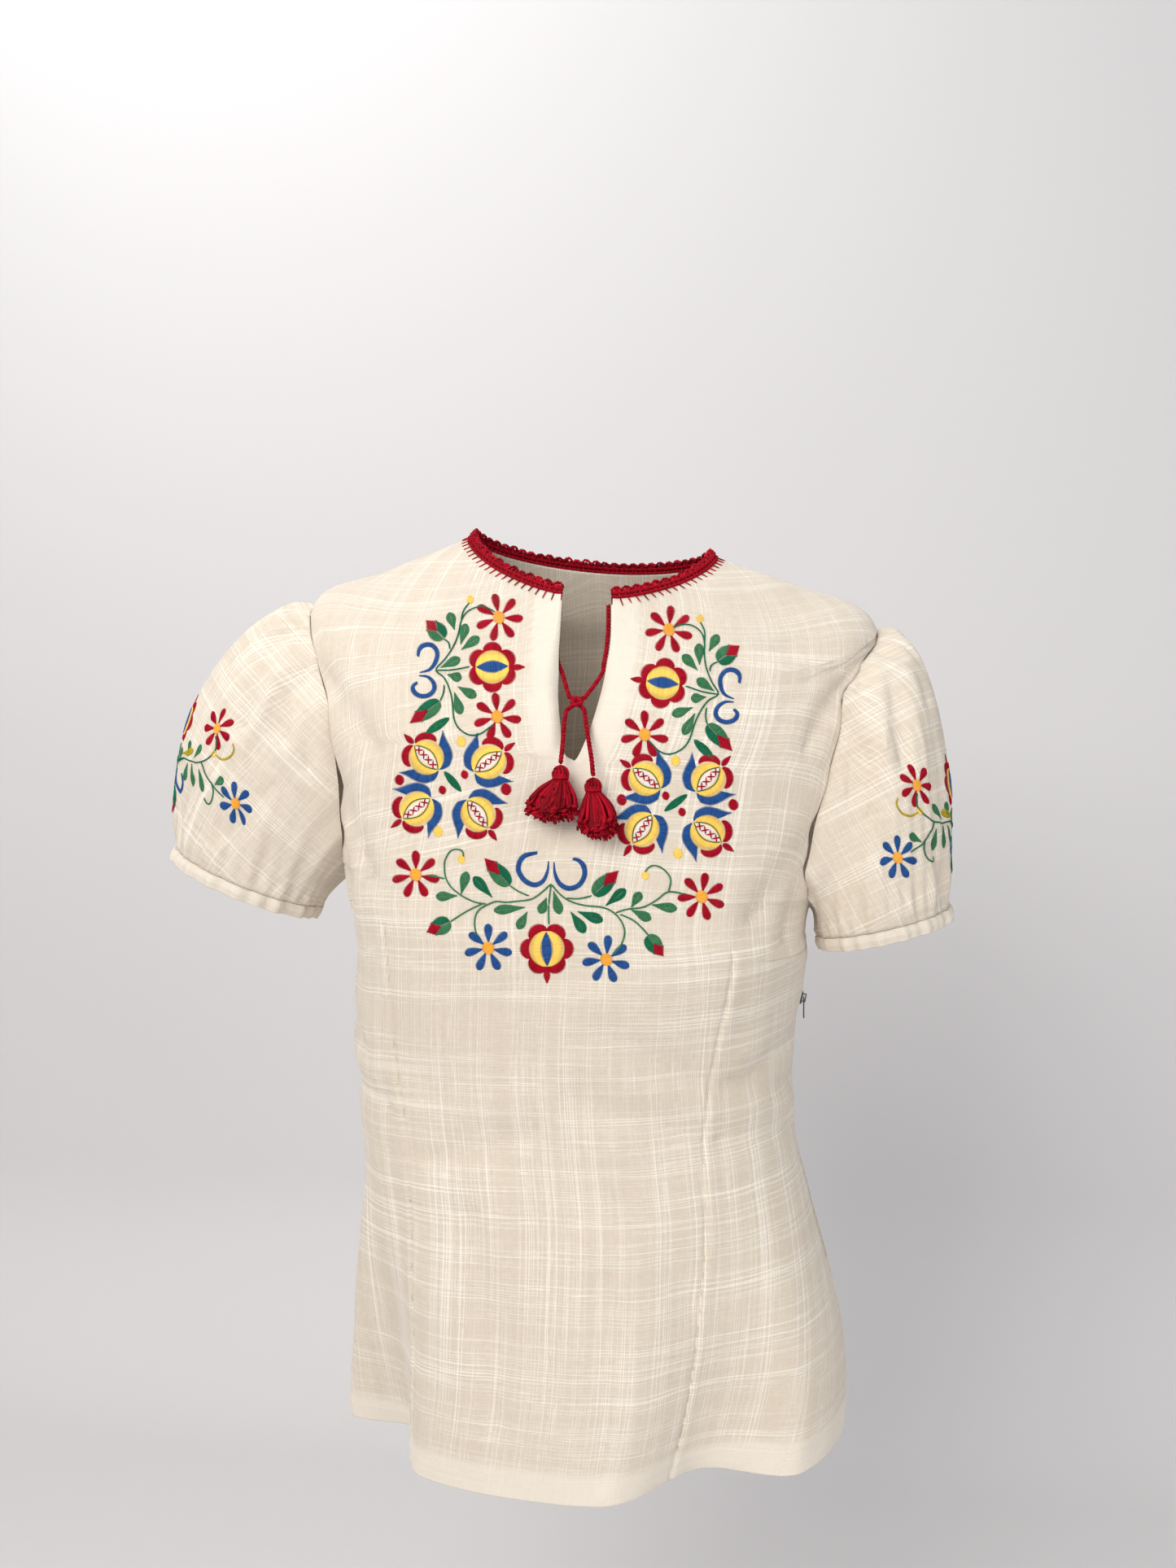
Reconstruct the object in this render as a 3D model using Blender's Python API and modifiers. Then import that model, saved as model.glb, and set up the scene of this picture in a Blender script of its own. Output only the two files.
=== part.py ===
"""Embroidered folk blouse in its worn form: cloth panels, puff sleeves, neck edging, tie and side zip.

Metres, +Z up. The front faces -Y and the wearer's left is +X. The origin lies midway between the
neck points, where the wearer's shoulders hold the blouse up.
"""

import math
from collections import namedtuple

import bmesh
import bpy
from mathutils import Vector

# Cloth and seams
CLOTH = 0.0012
SEAM_GAP = 0.0004
FACING_CLOTH = 0.001
BEHIND_CLOTH = CLOTH + 0.0005
CUFF_CLOTH = 0.002

# Body sections, from the hem to the neck. Each is one closed ring round the body: the height of its
# sides, front and back, its half width and depths, its squareness (2 is an ellipse), how far its
# middle lies to the wearer's left, how far it leans down on that side and turns, the angles of the
# two front dart seams from the centre front, and the grid rows between it and the next section.
Section = namedtuple(
    "Section",
    "name side_z front_z back_z half_width front back square shift lean turn dart_right dart_left rows",
)
SECTIONS = (
    Section("hem", -0.612, -0.616, -0.610, 0.176, 0.118, 0.112, 2.1, 0.003, -3.8, 9.5, 34.0, 27.0, 2),
    Section("hip", -0.560, -0.560, -0.557, 0.174, 0.115, 0.109, 2.2, 0.005, -2.5, 7.0, 34.0, 28.0, 2),
    Section("high hip", -0.500, -0.500, -0.498, 0.166, 0.110, 0.105, 2.3, 0.002, 0.0, 4.5, 36.0, 30.0, 2),
    Section("low waist", -0.450, -0.450, -0.450, 0.157, 0.105, 0.099, 2.3, -0.002, 1.0, 2.5, 38.0, 33.0, 1),
    Section("waist", -0.405, -0.405, -0.405, 0.153, 0.102, 0.096, 2.3, -0.008, 2.0, 1.5, 38.0, 35.0, 2),
    Section("midriff", -0.350, -0.350, -0.350, 0.154, 0.107, 0.098, 2.3, -0.011, 2.6, 1.0, 40.0, 38.0, 2),
    Section("bust", -0.285, -0.285, -0.285, 0.158, 0.117, 0.101, 2.3, -0.005, 3.6, 2.0, 41.0, 40.0, 2),
    Section("armpit", -0.246, -0.248, -0.246, 0.163, 0.116, 0.104, 2.3, -0.008, 4.0, 1.0, 41.0, 40.0, 4),
    Section("armhole", -0.146, -0.157, -0.156, 0.186, 0.104, 0.104, 2.4, -0.003, 4.2, -4.0, 40.0, 40.0, 4),
    Section("tip", -0.053, -0.106, -0.080, 0.199, 0.084, 0.088, 2.4, 0.003, 3.0, -3.5, 42.0, 42.0, 2),
    Section("shoulder", -0.025, -0.079, -0.046, 0.145, 0.072, 0.066, 2.2, 0.003, 3.0, -2.5, 42.0, 42.0, 2),
    Section("neck", -0.004, -0.047, -0.014, 0.089, 0.058, 0.046, 2.0, 0.003, 5.5, -2.0, 42.0, 42.0, 0),
)
ARMPIT = 7
TIP = 9
NECK = len(SECTIONS) - 1
SIDE_ANGLE = 90.0
FRONT_DIP_POWER = 1.3

# Armhole edges at levels counted in sections: the angle of the front's edge from the centre front,
# on the wearer's right and left, and that of the back's edges from the centre back.
ArmholeRow = namedtuple("ArmholeRow", "level front_right front_left back")
ARMHOLE = (
    ArmholeRow(7.0, 90.0, 90.0, 90.0),
    ArmholeRow(7.12, 74.0, 74.0, 74.0),
    ArmholeRow(7.35, 65.0, 65.0, 67.0),
    ArmholeRow(7.7, 61.0, 61.0, 64.0),
    ArmholeRow(8.2, 61.0, 60.0, 64.0),
    ArmholeRow(8.6, 65.0, 56.0, 68.0),
    ArmholeRow(8.85, 74.0, 63.0, 76.0),
    ArmholeRow(9.0, 90.0, 90.0, 90.0),
)
UNDERARM_LEVELS = (7.04, 7.12, 7.22)

# Troughs and swells of the hanging cloth: its angle round the body (0 at the front, 90 at the
# wearer's left side), half width, depth at the hem (inwards is negative) and the level it fades at.
Fold = namedtuple("Fold", "angle half_width depth fades_at")
FOLDS = (
    Fold(-50.0, 22.0, -0.034, 3.4),
    Fold(36.0, 24.0, -0.034, 3.2),
    Fold(60.0, 20.0, 0.003, 3.0),
    Fold(-74.0, 14.0, 0.003, 2.6),
    Fold(135.0, 20.0, -0.010, 3.2),
    Fold(-140.0, 22.0, -0.011, 3.4),
    Fold(178.0, 26.0, 0.006, 2.8),
)
# Fullness that the bust darts give each side of the front.
DART_FULLNESS = 0.006
FULLNESS_ANGLE = 38.0
FULLNESS_HALF_ANGLE = 34.0
FULLNESS_LEVEL = 6.2
FULLNESS_HALF_LEVELS = 1.5

# Grid of the panels
FRONT_COLUMNS = 12
BACK_COLUMNS = 9
DART_COLUMN = 5 / 12
# A centre column's angle, just off 0, so that each half keeps its own side of the slit.
CENTRE_ANGLE = 1e-4
WELD_DISTANCE = 2e-5
# Each panel's share of the gap at a seam.
SIDE_EDGE_SHARE = 0.6
SHOULDER_EDGE_SHARE = 1.2

# Neck slit and its facing
SLIT_BOTTOM_LEVEL = 8.0
SLIT_REACH = 34.0
# How far each edge of the slit stands from the centre line, from the slit's bottom to the neck.
# The rows are close together at the bottom and spread out further up.
SlitRow = namedtuple("SlitRow", "right left")
SLIT_ROWS = (
    SlitRow(0.0, 0.0),
    SlitRow(0.0085, 0.0027),
    SlitRow(0.0120, 0.0069),
    SlitRow(0.0161, 0.0105),
    SlitRow(0.0173, 0.0138),
    SlitRow(0.0160, 0.0175),
    SlitRow(0.0150, 0.0177),
)
FACING_COLUMNS = 2
FACING_ROWS_BELOW_SLIT = 1

# Sleeves: the middle of the ring where each sleeve meets its cuff, how far that ring's outer end is
# tipped up, its half sizes, how far the cloth runs straight on from the armhole at the top, at the
# front and back and at the underarm, how far it hangs straight above the cuff outside, and how much
# it draws in towards the cuff there.
Sleeve = namedtuple(
    "Sleeve",
    "name side x y z tip half_across half_deep puff_top puff_side puff_under bag_outside draw_in",
)
SLEEVES = (
    Sleeve("right", -1, -0.246, -0.0105, -0.2377, 23.0, 0.057, 0.048, 0.190, 0.120, 0.020, 0.270, 0.58),
    Sleeve("left", 1, 0.2045, -0.0050, -0.2653, 14.6, 0.0455, 0.055, 0.150, 0.120, 0.016, 0.170, 0.34),
)
SIDE_DRAW_IN = 0.20
# The way in which the cloth leaves the armhole: outwards, forward at the front, and downwards, with
# more of it at the underarm.
LEAVES_OUTWARD = 0.85
LEAVES_FORWARD = 0.42
LEAVES_DOWN = 0.22
LEAVES_DOWN_MORE = 0.32
SLEEVE_ROWS = (0.0, 0.05, 0.13, 0.27, 0.45, 0.62, 0.78, 0.91, 1.0)
SLEEVE_HEM = 0.003
SLEEVE_TOP_LEVEL = 8.4
TOP_COLUMN_SPACING = 0.0048
COLUMN_SPACING = 0.0135
CAP_GATHERS = 8
CAP_GATHER_HALF_SPAN = 0.15
CAP_GATHER_DEPTH = 0.0026
CAP_GATHER_FULL_AT = 0.1
CAP_GATHER_FADE = 0.4
CUFF_GATHERS = 14
CUFF_GATHER_DEPTH = 0.0022
CUFF_GATHER_START = 0.45
CUFF_GATHER_FULL_AT = 0.9
GATHER_FADE_POWER = 1.5
CUFF_PUCKER = 0.0006
CUFF_HEIGHT = 0.009
CUFF_ROUNDING = 0.0006

# Crocheted neck edging: it starts a little clear of the neckline, stands up and leans inwards.
EDGING_START = 0.0008
EDGING_WIDTH = 0.0078
SCALLOP = 0.0014
SCALLOPS = 42
EDGING_STEPS = 3 * SCALLOPS
EDGING_HALF_THICK = 0.0010
EDGING_RISE_FRONT = 62.0
EDGING_RISE_SIDE = 46.0
EDGING_END_ANGLE = 0.4
# How much more the edging faces to the front and back than the flat neck ring alone would.
EDGING_FACE_STRETCH = 1.6

# Tie cord: each half leaves the edging at a slit corner, runs behind the slit's edge to the half
# knot, and hangs on as a tail to its tassel.
CORD_RADIUS = 0.0015
CORD_SPACING = 0.004
CORD_GAP = 0.0003
CORD_CURVE_STEPS = 20
KNOT_MIDDLE = Vector((0.0044, -0.0938, -0.1196))
KNOT_RADIUS = 0.0030
KNOT_CORD_RADIUS = 0.0018
KNOT_TILT = 35.0
CORD_TO_KNOT = KNOT_RADIUS + KNOT_CORD_RADIUS + CORD_GAP

# Upper runs: level on the front, distance from the slit's edge into the opening, depth under the
# cloth's outer face. Then the way in which each cord end looks from the knot.
Run = namedtuple("Run", "level beside inset")
UPPER_RIGHT_RUN = (
    Run(10.80, -0.0015, 0.0056),
    Run(10.30, -0.0015, 0.0056),
    Run(9.85, -0.0015, 0.0056),
    Run(9.45, -0.0008, 0.0054),
    Run(9.15, 0.0022, 0.0036),
)
UPPER_LEFT_RUN = (
    Run(10.80, 0.0022, 0.0040),
    Run(10.30, 0.0021, 0.0030),
    Run(9.85, 0.0021, 0.0015),
    Run(9.45, 0.0021, 0.0005),
    Run(9.15, 0.0024, 0.0000),
)
KNOT_TO_UPPER_RIGHT = Vector((-0.80, 0.10, 0.60))
KNOT_TO_UPPER_LEFT = Vector((0.86, 0.05, 0.50))
KNOT_TO_TAIL_RIGHT = Vector((-0.75, -0.10, -0.65))
KNOT_TO_TAIL_LEFT = Vector((0.68, -0.10, -0.73))
TAIL_RIGHT_ROUTE = (
    (-0.0020, -0.0975, -0.1262),
    (-0.0026, -0.1025, -0.1349),
    (-0.0026, -0.1090, -0.1478),
    (-0.0030, -0.1150, -0.1590),
)
TAIL_LEFT_ROUTE = (
    (0.0098, -0.0965, -0.1270),
    (0.0112, -0.1005, -0.1340),
    (0.0132, -0.1055, -0.1437),
    (0.0158, -0.1105, -0.1565),
    (0.0172, -0.1140, -0.1668),
)

# Tassels: a small round head, whose lower faces are drawn out into locks that flare and hang.
TASSEL_HEAD_RADIUS = 0.0052
TASSEL_HEAD_STRETCH = 1.1
TASSEL_LOCK_STEPS = ((0.010, 0.80), (0.016, 0.20))
TASSEL_LOCK_SPREAD = 0.7
TASSEL_LOCK_INSET = 0.22
TASSEL_FLATNESS = 0.3
TASSEL_SEGMENTS = 8
TASSEL_RINGS = 6
TASSEL_LOWER_NORMAL = -0.05
TASSEL_DROP = TASSEL_HEAD_RADIUS * TASSEL_HEAD_STRETCH + CORD_GAP + CORD_RADIUS / 2
Tassel = namedtuple("Tassel", "name cord_end flare lean_x lean_y")
TASSELS = (
    Tassel("tassel_right", TAIL_RIGHT_ROUTE[-1], 1.10, -0.25, -0.22),
    Tassel("tassel_left", TAIL_LEFT_ROUTE[-1], 0.52, 0.15, -0.22),
)

# Side zip in the wearer's left side seam
ZIP_TOP_LEVEL = 5.66
ZIP_BOTTOM_LEVEL = 2.1
ZIP_HALF_GAP = 0.0019
ZIP_EASE = 0.1
ZIP_END_ROWS = (ZIP_BOTTOM_LEVEL, ZIP_TOP_LEVEL, ZIP_TOP_LEVEL + ZIP_EASE)
FRAME_STEP_LEVEL = 0.05
FRAME_STEP_ANGLE = 1.0
ZIP_HALF_TAPE = 0.008
ZIP_HALF_CHAIN = 0.0014
ZIP_CHAIN_BELOW_FACE = 0.0003
ZIP_TAPE_BELOW_FACE = 0.0021
ZIP_TAPE_THICK = 0.0008
ZIP_STATIONS = 20
SLIDER_LEVEL = 5.58
SLIDER_LENGTH = 0.0085
SLIDER_WIDTH = 0.0050
SLIDER_THICK = 0.0016
SLIDER_CLEAR = 0.0003
SLIDER_CHAMFER = SLIDER_THICK / 3
BRIDGE_WIDTH = 0.0014
BRIDGE_HALF_LENGTH = 0.0030
BRIDGE_THICK = 0.0008
PULL_BAR = 0.0010
PULL_THICK = 0.0009
PULL_WIDTH = 0.0048
PULL_LENGTH = 0.0145
PULL_WINDOW = (0.0024, 0.0033)
# The tab below its window: half widths and heights as shares of its own half width and length.
PullRow = namedtuple("PullRow", "half_width height")
PULL_ROWS = (PullRow(0.62, 0.45), PullRow(0.80, 0.90), PullRow(0.45, 1.0))
BRIDGE_INSIDE = PULL_BAR + 2 * SLIDER_CLEAR


def rad(degrees):
    return math.radians(degrees)


def between(rows, level):
    """Values of a table at a level that counts its rows, on a smooth curve through the rows."""
    low = min(max(int(math.floor(level)), 0), len(rows) - 2)
    t = level - low
    before, start, end, after = (rows[min(max(low + k, 0), len(rows) - 1)] for k in (-1, 0, 1, 2))
    values = []
    for a, b, c, d in zip(before, start, end, after):
        if isinstance(b, str):
            values.append(b)
            continue
        slope_in = (c - a) / 2
        slope_out = (d - b) / 2
        cube, square = t**3, t**2
        values.append(
            (2 * cube - 3 * square + 1) * b
            + (cube - 2 * square + t) * slope_in
            + (3 * square - 2 * cube) * c
            + (cube - square) * slope_out
        )
    return type(rows[0])(*values)


def swell(distance):
    """A smooth bump: 1 at distance 0, and 0 from distance 1 on."""
    return (1 - distance**2) ** 2 if abs(distance) < 1 else 0.0


def turned(angle):
    """The angle brought to -180..180 degrees."""
    return (angle + 180) % 360 - 180


def armhole_angle(side, level, is_front):
    """Angle of the panel's edge from its centre: the side seam, the armhole or the shoulder seam."""
    if level <= ARMHOLE[0].level or level >= ARMHOLE[-1].level:
        return 90.0
    for low, high in zip(ARMHOLE, ARMHOLE[1:]):
        if level <= high.level:
            t = (level - low.level) / (high.level - low.level)
            ease = t * t * (3 - 2 * t) if 0 < ARMHOLE.index(low) < len(ARMHOLE) - 2 else t
            edge = "back" if not is_front else "front_left" if side > 0 else "front_right"
            start, end = getattr(low, edge), getattr(high, edge)
            return start + (end - start) * ease
    return 90.0


def body_point(angle, level, inset=0.0):
    """Point of the blouse's outer face, moved in by inset. Angle 0 is the centre front, 90 the left side."""
    row = between(SECTIONS, level)
    angle = turned(angle)
    across, ahead = math.sin(rad(angle)), math.cos(rad(angle))
    depth = row.front if ahead > 0 else row.back
    power = 2 / row.square
    x = row.half_width * math.copysign(abs(across) ** power, across)
    y = -depth * math.copysign(abs(ahead) ** power, ahead)
    dip_z = row.front_z if ahead > 0 else row.back_z
    z = row.side_z + (dip_z - row.side_z) * abs(ahead) ** FRONT_DIP_POWER

    out = Vector((x / row.half_width**2, y / depth**2, 0.0)).normalized()
    push = -inset
    for fold in FOLDS:
        growth = max(0.0, 1 - level / fold.fades_at)
        push += fold.depth * swell(turned(angle - fold.angle) / fold.half_width) * growth**1.3
    fullness = swell((abs(angle) - FULLNESS_ANGLE) / FULLNESS_HALF_ANGLE)
    push += DART_FULLNESS * fullness * swell((level - FULLNESS_LEVEL) / FULLNESS_HALF_LEVELS)
    x += out.x * push
    y += out.y * push

    if level > SLIT_BOTTOM_LEVEL and ahead > 0:
        x += slit_edge(-1 if angle < 0 else 1, level) * max(0.0, 1 - abs(angle) / SLIT_REACH) ** 2
    cos_turn, sin_turn = math.cos(rad(row.turn)), math.sin(rad(row.turn))
    x, y = x * cos_turn + y * sin_turn, -x * sin_turn + y * cos_turn
    return Vector((x + row.shift, y, z - x * math.tan(rad(row.lean))))


def slit_edge(side, level):
    """Signed distance of the slit's edge from the centre line."""
    up = min(max((level - SLIT_BOTTOM_LEVEL) / (NECK - SLIT_BOTTOM_LEVEL), 0.0), 1.0)
    row = between(SLIT_ROWS, (len(SLIT_ROWS) - 1) * math.sqrt(up))
    return row.left if side > 0 else -row.right


def grid_levels():
    """Levels of the panels' grid rows, closer together under the arm."""
    levels = []
    for index, section in enumerate(SECTIONS[:-1]):
        levels += [index + step / section.rows for step in range(section.rows)]
    return sorted(levels + list(UNDERARM_LEVELS) + list(ZIP_END_ROWS) + [float(NECK)])


def column_angle(side, share, level, is_front):
    """Angle of a grid column: share 0 is the centre, 1 the edge. A front column follows the dart seam."""
    edge = armhole_angle(side, level, is_front)
    if not is_front:
        return share * edge
    row = between(SECTIONS, level)
    dart_share = (row.dart_left if side > 0 else row.dart_right) / 90
    bend = (dart_share - DART_COLUMN) / (DART_COLUMN * (1 - DART_COLUMN))
    return edge * (share + bend * share * (1 - share))


def zip_opening(side, level):
    """How far each panel's edge stands back from the zip's middle."""
    if side < 0 or not ZIP_BOTTOM_LEVEL - ZIP_EASE < level < ZIP_TOP_LEVEL + ZIP_EASE:
        return 0.0
    from_end = min(level - ZIP_BOTTOM_LEVEL, ZIP_TOP_LEVEL - level) + ZIP_EASE
    return ZIP_HALF_GAP * min(1.0, from_end / ZIP_EASE)


def panel_point(side, share, level, is_front, inset=0.0):
    """Grid point of a panel, with its seam edge drawn back by half the seam's gap."""
    angle = column_angle(side, share, level, is_front)
    if share == 1.0:
        row = between(SECTIONS, level)
        share_of_gap = SHOULDER_EDGE_SHARE if level >= TIP else SIDE_EDGE_SHARE
        drawn_back = SEAM_GAP * share_of_gap + zip_opening(side, level)
        angle -= math.degrees(drawn_back / min(row.front, row.back))
    angle = side * max(angle, CENTRE_ANGLE)
    return body_point(angle if is_front else 180 - angle, level, inset)


def new_object(name, mesh, material, collection):
    obj = bpy.data.objects.new(name, mesh)
    obj.data.materials.append(material)
    collection.objects.link(obj)
    return obj


def mesh_from_grid(name, rows, closed_round=False):
    """Open quad sheet through rows of points. closed_round joins each row's end to its start."""
    build = bmesh.new()
    rings = [[build.verts.new(point) for point in row] for row in rows]
    for low, high in zip(rings, rings[1:]):
        count = len(low) if closed_round else len(low) - 1
        for index in range(count):
            nxt = (index + 1) % len(low)
            build.faces.new((low[index], low[nxt], high[nxt], high[index]))
    mesh = bpy.data.meshes.new(name)
    build.to_mesh(mesh)
    build.free()
    return mesh


def thicken(obj, thickness):
    """Cloth wall: the sheet is the outer face and the wall grows inwards."""
    wall = obj.modifiers.new("wall", "SOLIDIFY")
    wall.thickness = thickness
    wall.offset = -1
    wall.use_rim = True
    obj.data.shade_smooth()
    return obj


def material(name, colour, roughness, metallic=0.0):
    made = bpy.data.materials.new(name)
    made.use_nodes = True
    shader = made.node_tree.nodes["Principled BSDF"]
    shader.inputs["Base Color"].default_value = (*colour, 1.0)
    shader.inputs["Roughness"].default_value = roughness
    shader.inputs["Metallic"].default_value = metallic
    return made


def half_panel_rows(side, shares, levels, is_front, inset=0.0):
    return [[panel_point(side, share, level, is_front, inset) for share in shares] for level in levels]


def joined_halves(name, right_rows, left_rows):
    """One mesh of the two half panels, welded where their centre points meet."""
    build = bmesh.new()
    for rows, flip in ((right_rows, True), (left_rows, False)):
        rings = [[build.verts.new(point) for point in row] for row in rows]
        for low, high in zip(rings, rings[1:]):
            for index in range(len(low) - 1):
                corners = (low[index], low[index + 1], high[index + 1], high[index])
                build.faces.new(corners[::-1] if flip else corners)
    bmesh.ops.remove_doubles(build, verts=build.verts, dist=WELD_DISTANCE)
    mesh = bpy.data.meshes.new(name)
    build.to_mesh(mesh)
    build.free()
    return mesh


def make_front(cloth, collection):
    shares = [index / FRONT_COLUMNS for index in range(FRONT_COLUMNS + 1)]
    levels = grid_levels()
    halves = [half_panel_rows(side, shares, levels, True) for side in (-1, 1)]
    return thicken(new_object("front", joined_halves("front", *halves), cloth, collection), CLOTH)


def make_back(cloth, collection):
    shares = [index / BACK_COLUMNS for index in range(BACK_COLUMNS + 1)]
    levels = grid_levels()
    left, right = (half_panel_rows(side, shares, levels, False) for side in (1, -1))
    return thicken(new_object("back", joined_halves("back", left, right), cloth, collection), CLOTH)


def make_slit_facing(cloth, collection):
    """Strip behind the front's own grid points, from just under the slit to the neck."""
    shares = [index / FRONT_COLUMNS for index in range(FACING_COLUMNS + 1)]
    levels = grid_levels()
    first = levels.index(SLIT_BOTTOM_LEVEL) - FACING_ROWS_BELOW_SLIT
    halves = [half_panel_rows(side, shares, levels[first:], True, BEHIND_CLOTH) for side in (-1, 1)]
    mesh = joined_halves("slit_facing", *halves)
    return thicken(new_object("slit_facing", mesh, cloth, collection), FACING_CLOTH)


def armhole_loop(sleeve):
    """The seam line round the armhole: underarm, front edge, shoulder tip and back edge.

    It runs through the panels' own edge points, with more points between them at the gathered top.
    """
    levels = [level for level in grid_levels() if ARMPIT <= level <= TIP]
    front = [seam_point(sleeve.side, level, True) for level in levels]
    back = [seam_point(sleeve.side, level, False) for level in levels]
    front_points, back_points = [], []
    for index, level in enumerate(levels[:-1]):
        spacing = TOP_COLUMN_SPACING if level >= SLEEVE_TOP_LEVEL else COLUMN_SPACING
        count = max(1, round((front[index + 1] - front[index]).length / spacing))
        for step in range(count):
            front_points.append(front[index].lerp(front[index + 1], step / count))
            back_points.append(back[index].lerp(back[index + 1], step / count))
    return front_points + [front[-1]] + back_points[:0:-1]


def seam_point(side, level, is_front):
    """Point of the armhole's seam line, between a panel's edge and the sleeve."""
    angle = side * armhole_angle(side, level, is_front)
    return body_point(angle if is_front else 180 - angle, level)


def cuff_axes(sleeve):
    """Directions of the cuff's ring: outwards, to the front, and out of the sleeve."""
    tip = rad(sleeve.tip)
    outward = Vector((sleeve.side * math.cos(tip), 0.0, math.sin(tip)))
    exit_way = Vector((sleeve.side * math.sin(tip), 0.0, -math.cos(tip)))
    return outward, Vector((0.0, -1.0, 0.0)), exit_way


def cuff_point(sleeve, share, drop, bulge=0.0):
    """Point of the cuff's ring. share runs round from the underarm over the front and the outside."""
    outward, forward, exit_way = cuff_axes(sleeve)
    turn = 2 * math.pi * share
    pucker = bulge + CUFF_PUCKER * math.cos(CUFF_GATHERS * turn)
    across = -math.cos(turn) * (sleeve.half_across + pucker)
    deep = math.sin(turn) * (sleeve.half_deep + pucker)
    middle = Vector((sleeve.x, sleeve.y, sleeve.z))
    return middle + outward * across + forward * deep + exit_way * drop


def sleeve_rows(sleeve):
    """Rings of the sleeve from the armhole to the cuff, with the gathers of the cap and the hem."""
    loop = armhole_loop(sleeve)
    count = len(loop)
    _, _, exit_way = cuff_axes(sleeve)
    rows = [[] for _ in SLEEVE_ROWS]
    for index, seam in enumerate(loop):
        share = index / count
        under, front = math.cos(2 * math.pi * share), math.sin(2 * math.pi * share)
        start = seam + Vector((sleeve.side * SEAM_GAP, 0.0, 0.0))
        end = cuff_point(sleeve, share, -SLEEVE_HEM)
        puff = round_share(under, front, sleeve.puff_under, sleeve.puff_side, sleeve.puff_top)
        bag = round_share(under, front, sleeve.puff_under, sleeve.puff_side, sleeve.bag_outside)
        draw_in = round_share(under, front, 0.0, SIDE_DRAW_IN, sleeve.draw_in)
        way_out = Vector(
            (
                sleeve.side * LEAVES_OUTWARD,
                -LEAVES_FORWARD * front,
                -LEAVES_DOWN - LEAVES_DOWN_MORE * under,
            )
        ).normalized()
        radial = end - Vector((sleeve.x, sleeve.y, sleeve.z))
        way_in = (exit_way - radial.normalized() * draw_in).normalized()
        for row, t in zip(rows, SLEEVE_ROWS):
            row.append(hermite(start, way_out * puff, end, way_in * bag, t))
    hem_row = [cuff_point(sleeve, index / count, 0.0) for index in range(count)]
    return gathered(rows) + [hem_row]


def round_share(under, front, at_underarm, at_side, at_top):
    """Value at a place round the sleeve, between those of its underarm, its sides and its top."""
    middle = (at_underarm + at_top) / 2
    return middle + under * (at_underarm - middle) + abs(front) * (at_side - middle)


def hermite(start, slope_start, end, slope_end, t):
    """Point of the cubic curve between two points with the given slopes."""
    cube, square = t**3, t**2
    return (
        start * (2 * cube - 3 * square + 1)
        + slope_start * (cube - 2 * square + t)
        + end * (3 * square - 2 * cube)
        + slope_end * (cube - square)
    )


def cap_gathers(t):
    """Strength of the cap's gathers at a place along the sleeve."""
    if t < CAP_GATHER_FULL_AT:
        return t / CAP_GATHER_FULL_AT
    return max(0.0, 1 - (t - CAP_GATHER_FULL_AT) / CAP_GATHER_FADE) ** GATHER_FADE_POWER


def cuff_gathers(t):
    """Strength of the cuff's gathers at a place along the sleeve."""
    if t < CUFF_GATHER_FULL_AT:
        rise = CUFF_GATHER_FULL_AT - CUFF_GATHER_START
        return max(0.0, (t - CUFF_GATHER_START) / rise) ** GATHER_FADE_POWER
    return (1 - t) / (1 - CUFF_GATHER_FULL_AT)


def gathered(rows):
    """The sleeve's rings with gather waves that fade away from the cap's seam and from the cuff."""
    waved = []
    for row, t in zip(rows, SLEEVE_ROWS):
        middle = sum(row, Vector()) / len(row)
        cap = cap_gathers(t)
        hem = cuff_gathers(t)
        ring = []
        for index, point in enumerate(row):
            share = index / len(row)
            from_top = (share - 0.5) / CAP_GATHER_HALF_SPAN
            cap_wave = swell(from_top) ** 0.5 * math.cos(math.pi * CAP_GATHERS * from_top)
            hem_wave = math.cos(2 * math.pi * CUFF_GATHERS * share) * (1 - math.cos(2 * math.pi * share)) / 2
            push = CAP_GATHER_DEPTH * cap * cap_wave + CUFF_GATHER_DEPTH * hem * hem_wave
            ring.append(point + (point - middle).normalized() * push)
        waved.append(ring)
    return waved


def facing_out(sleeve, ring):
    """The ring in the order that turns the cloth's outer face outwards on this side of the body."""
    return ring[::-1] if sleeve.side > 0 else ring


def make_sleeve(sleeve, cloth, collection):
    rows = [facing_out(sleeve, row) for row in sleeve_rows(sleeve)]
    mesh = mesh_from_grid("sleeve_" + sleeve.name, rows, True)
    return thicken(new_object(mesh.name, mesh, cloth, collection), CLOTH)


def make_cuff(sleeve, cloth, collection):
    """Narrow gathered casing: its ring follows the sleeve's own end points, a seam's gap below them."""
    count = len(armhole_loop(sleeve))
    drops = (SEAM_GAP, SEAM_GAP + CUFF_HEIGHT / 2, SEAM_GAP + CUFF_HEIGHT)
    bulges = (0.0, CUFF_ROUNDING, 0.0)
    rows = [
        [cuff_point(sleeve, index / count, drop, bulge) for index in range(count)]
        for drop, bulge in zip(drops, bulges)
    ]
    mesh = mesh_from_grid("cuff_" + sleeve.name, [facing_out(sleeve, row) for row in rows], True)
    return thicken(new_object(mesh.name, mesh, cloth, collection), CUFF_CLOTH)


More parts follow.
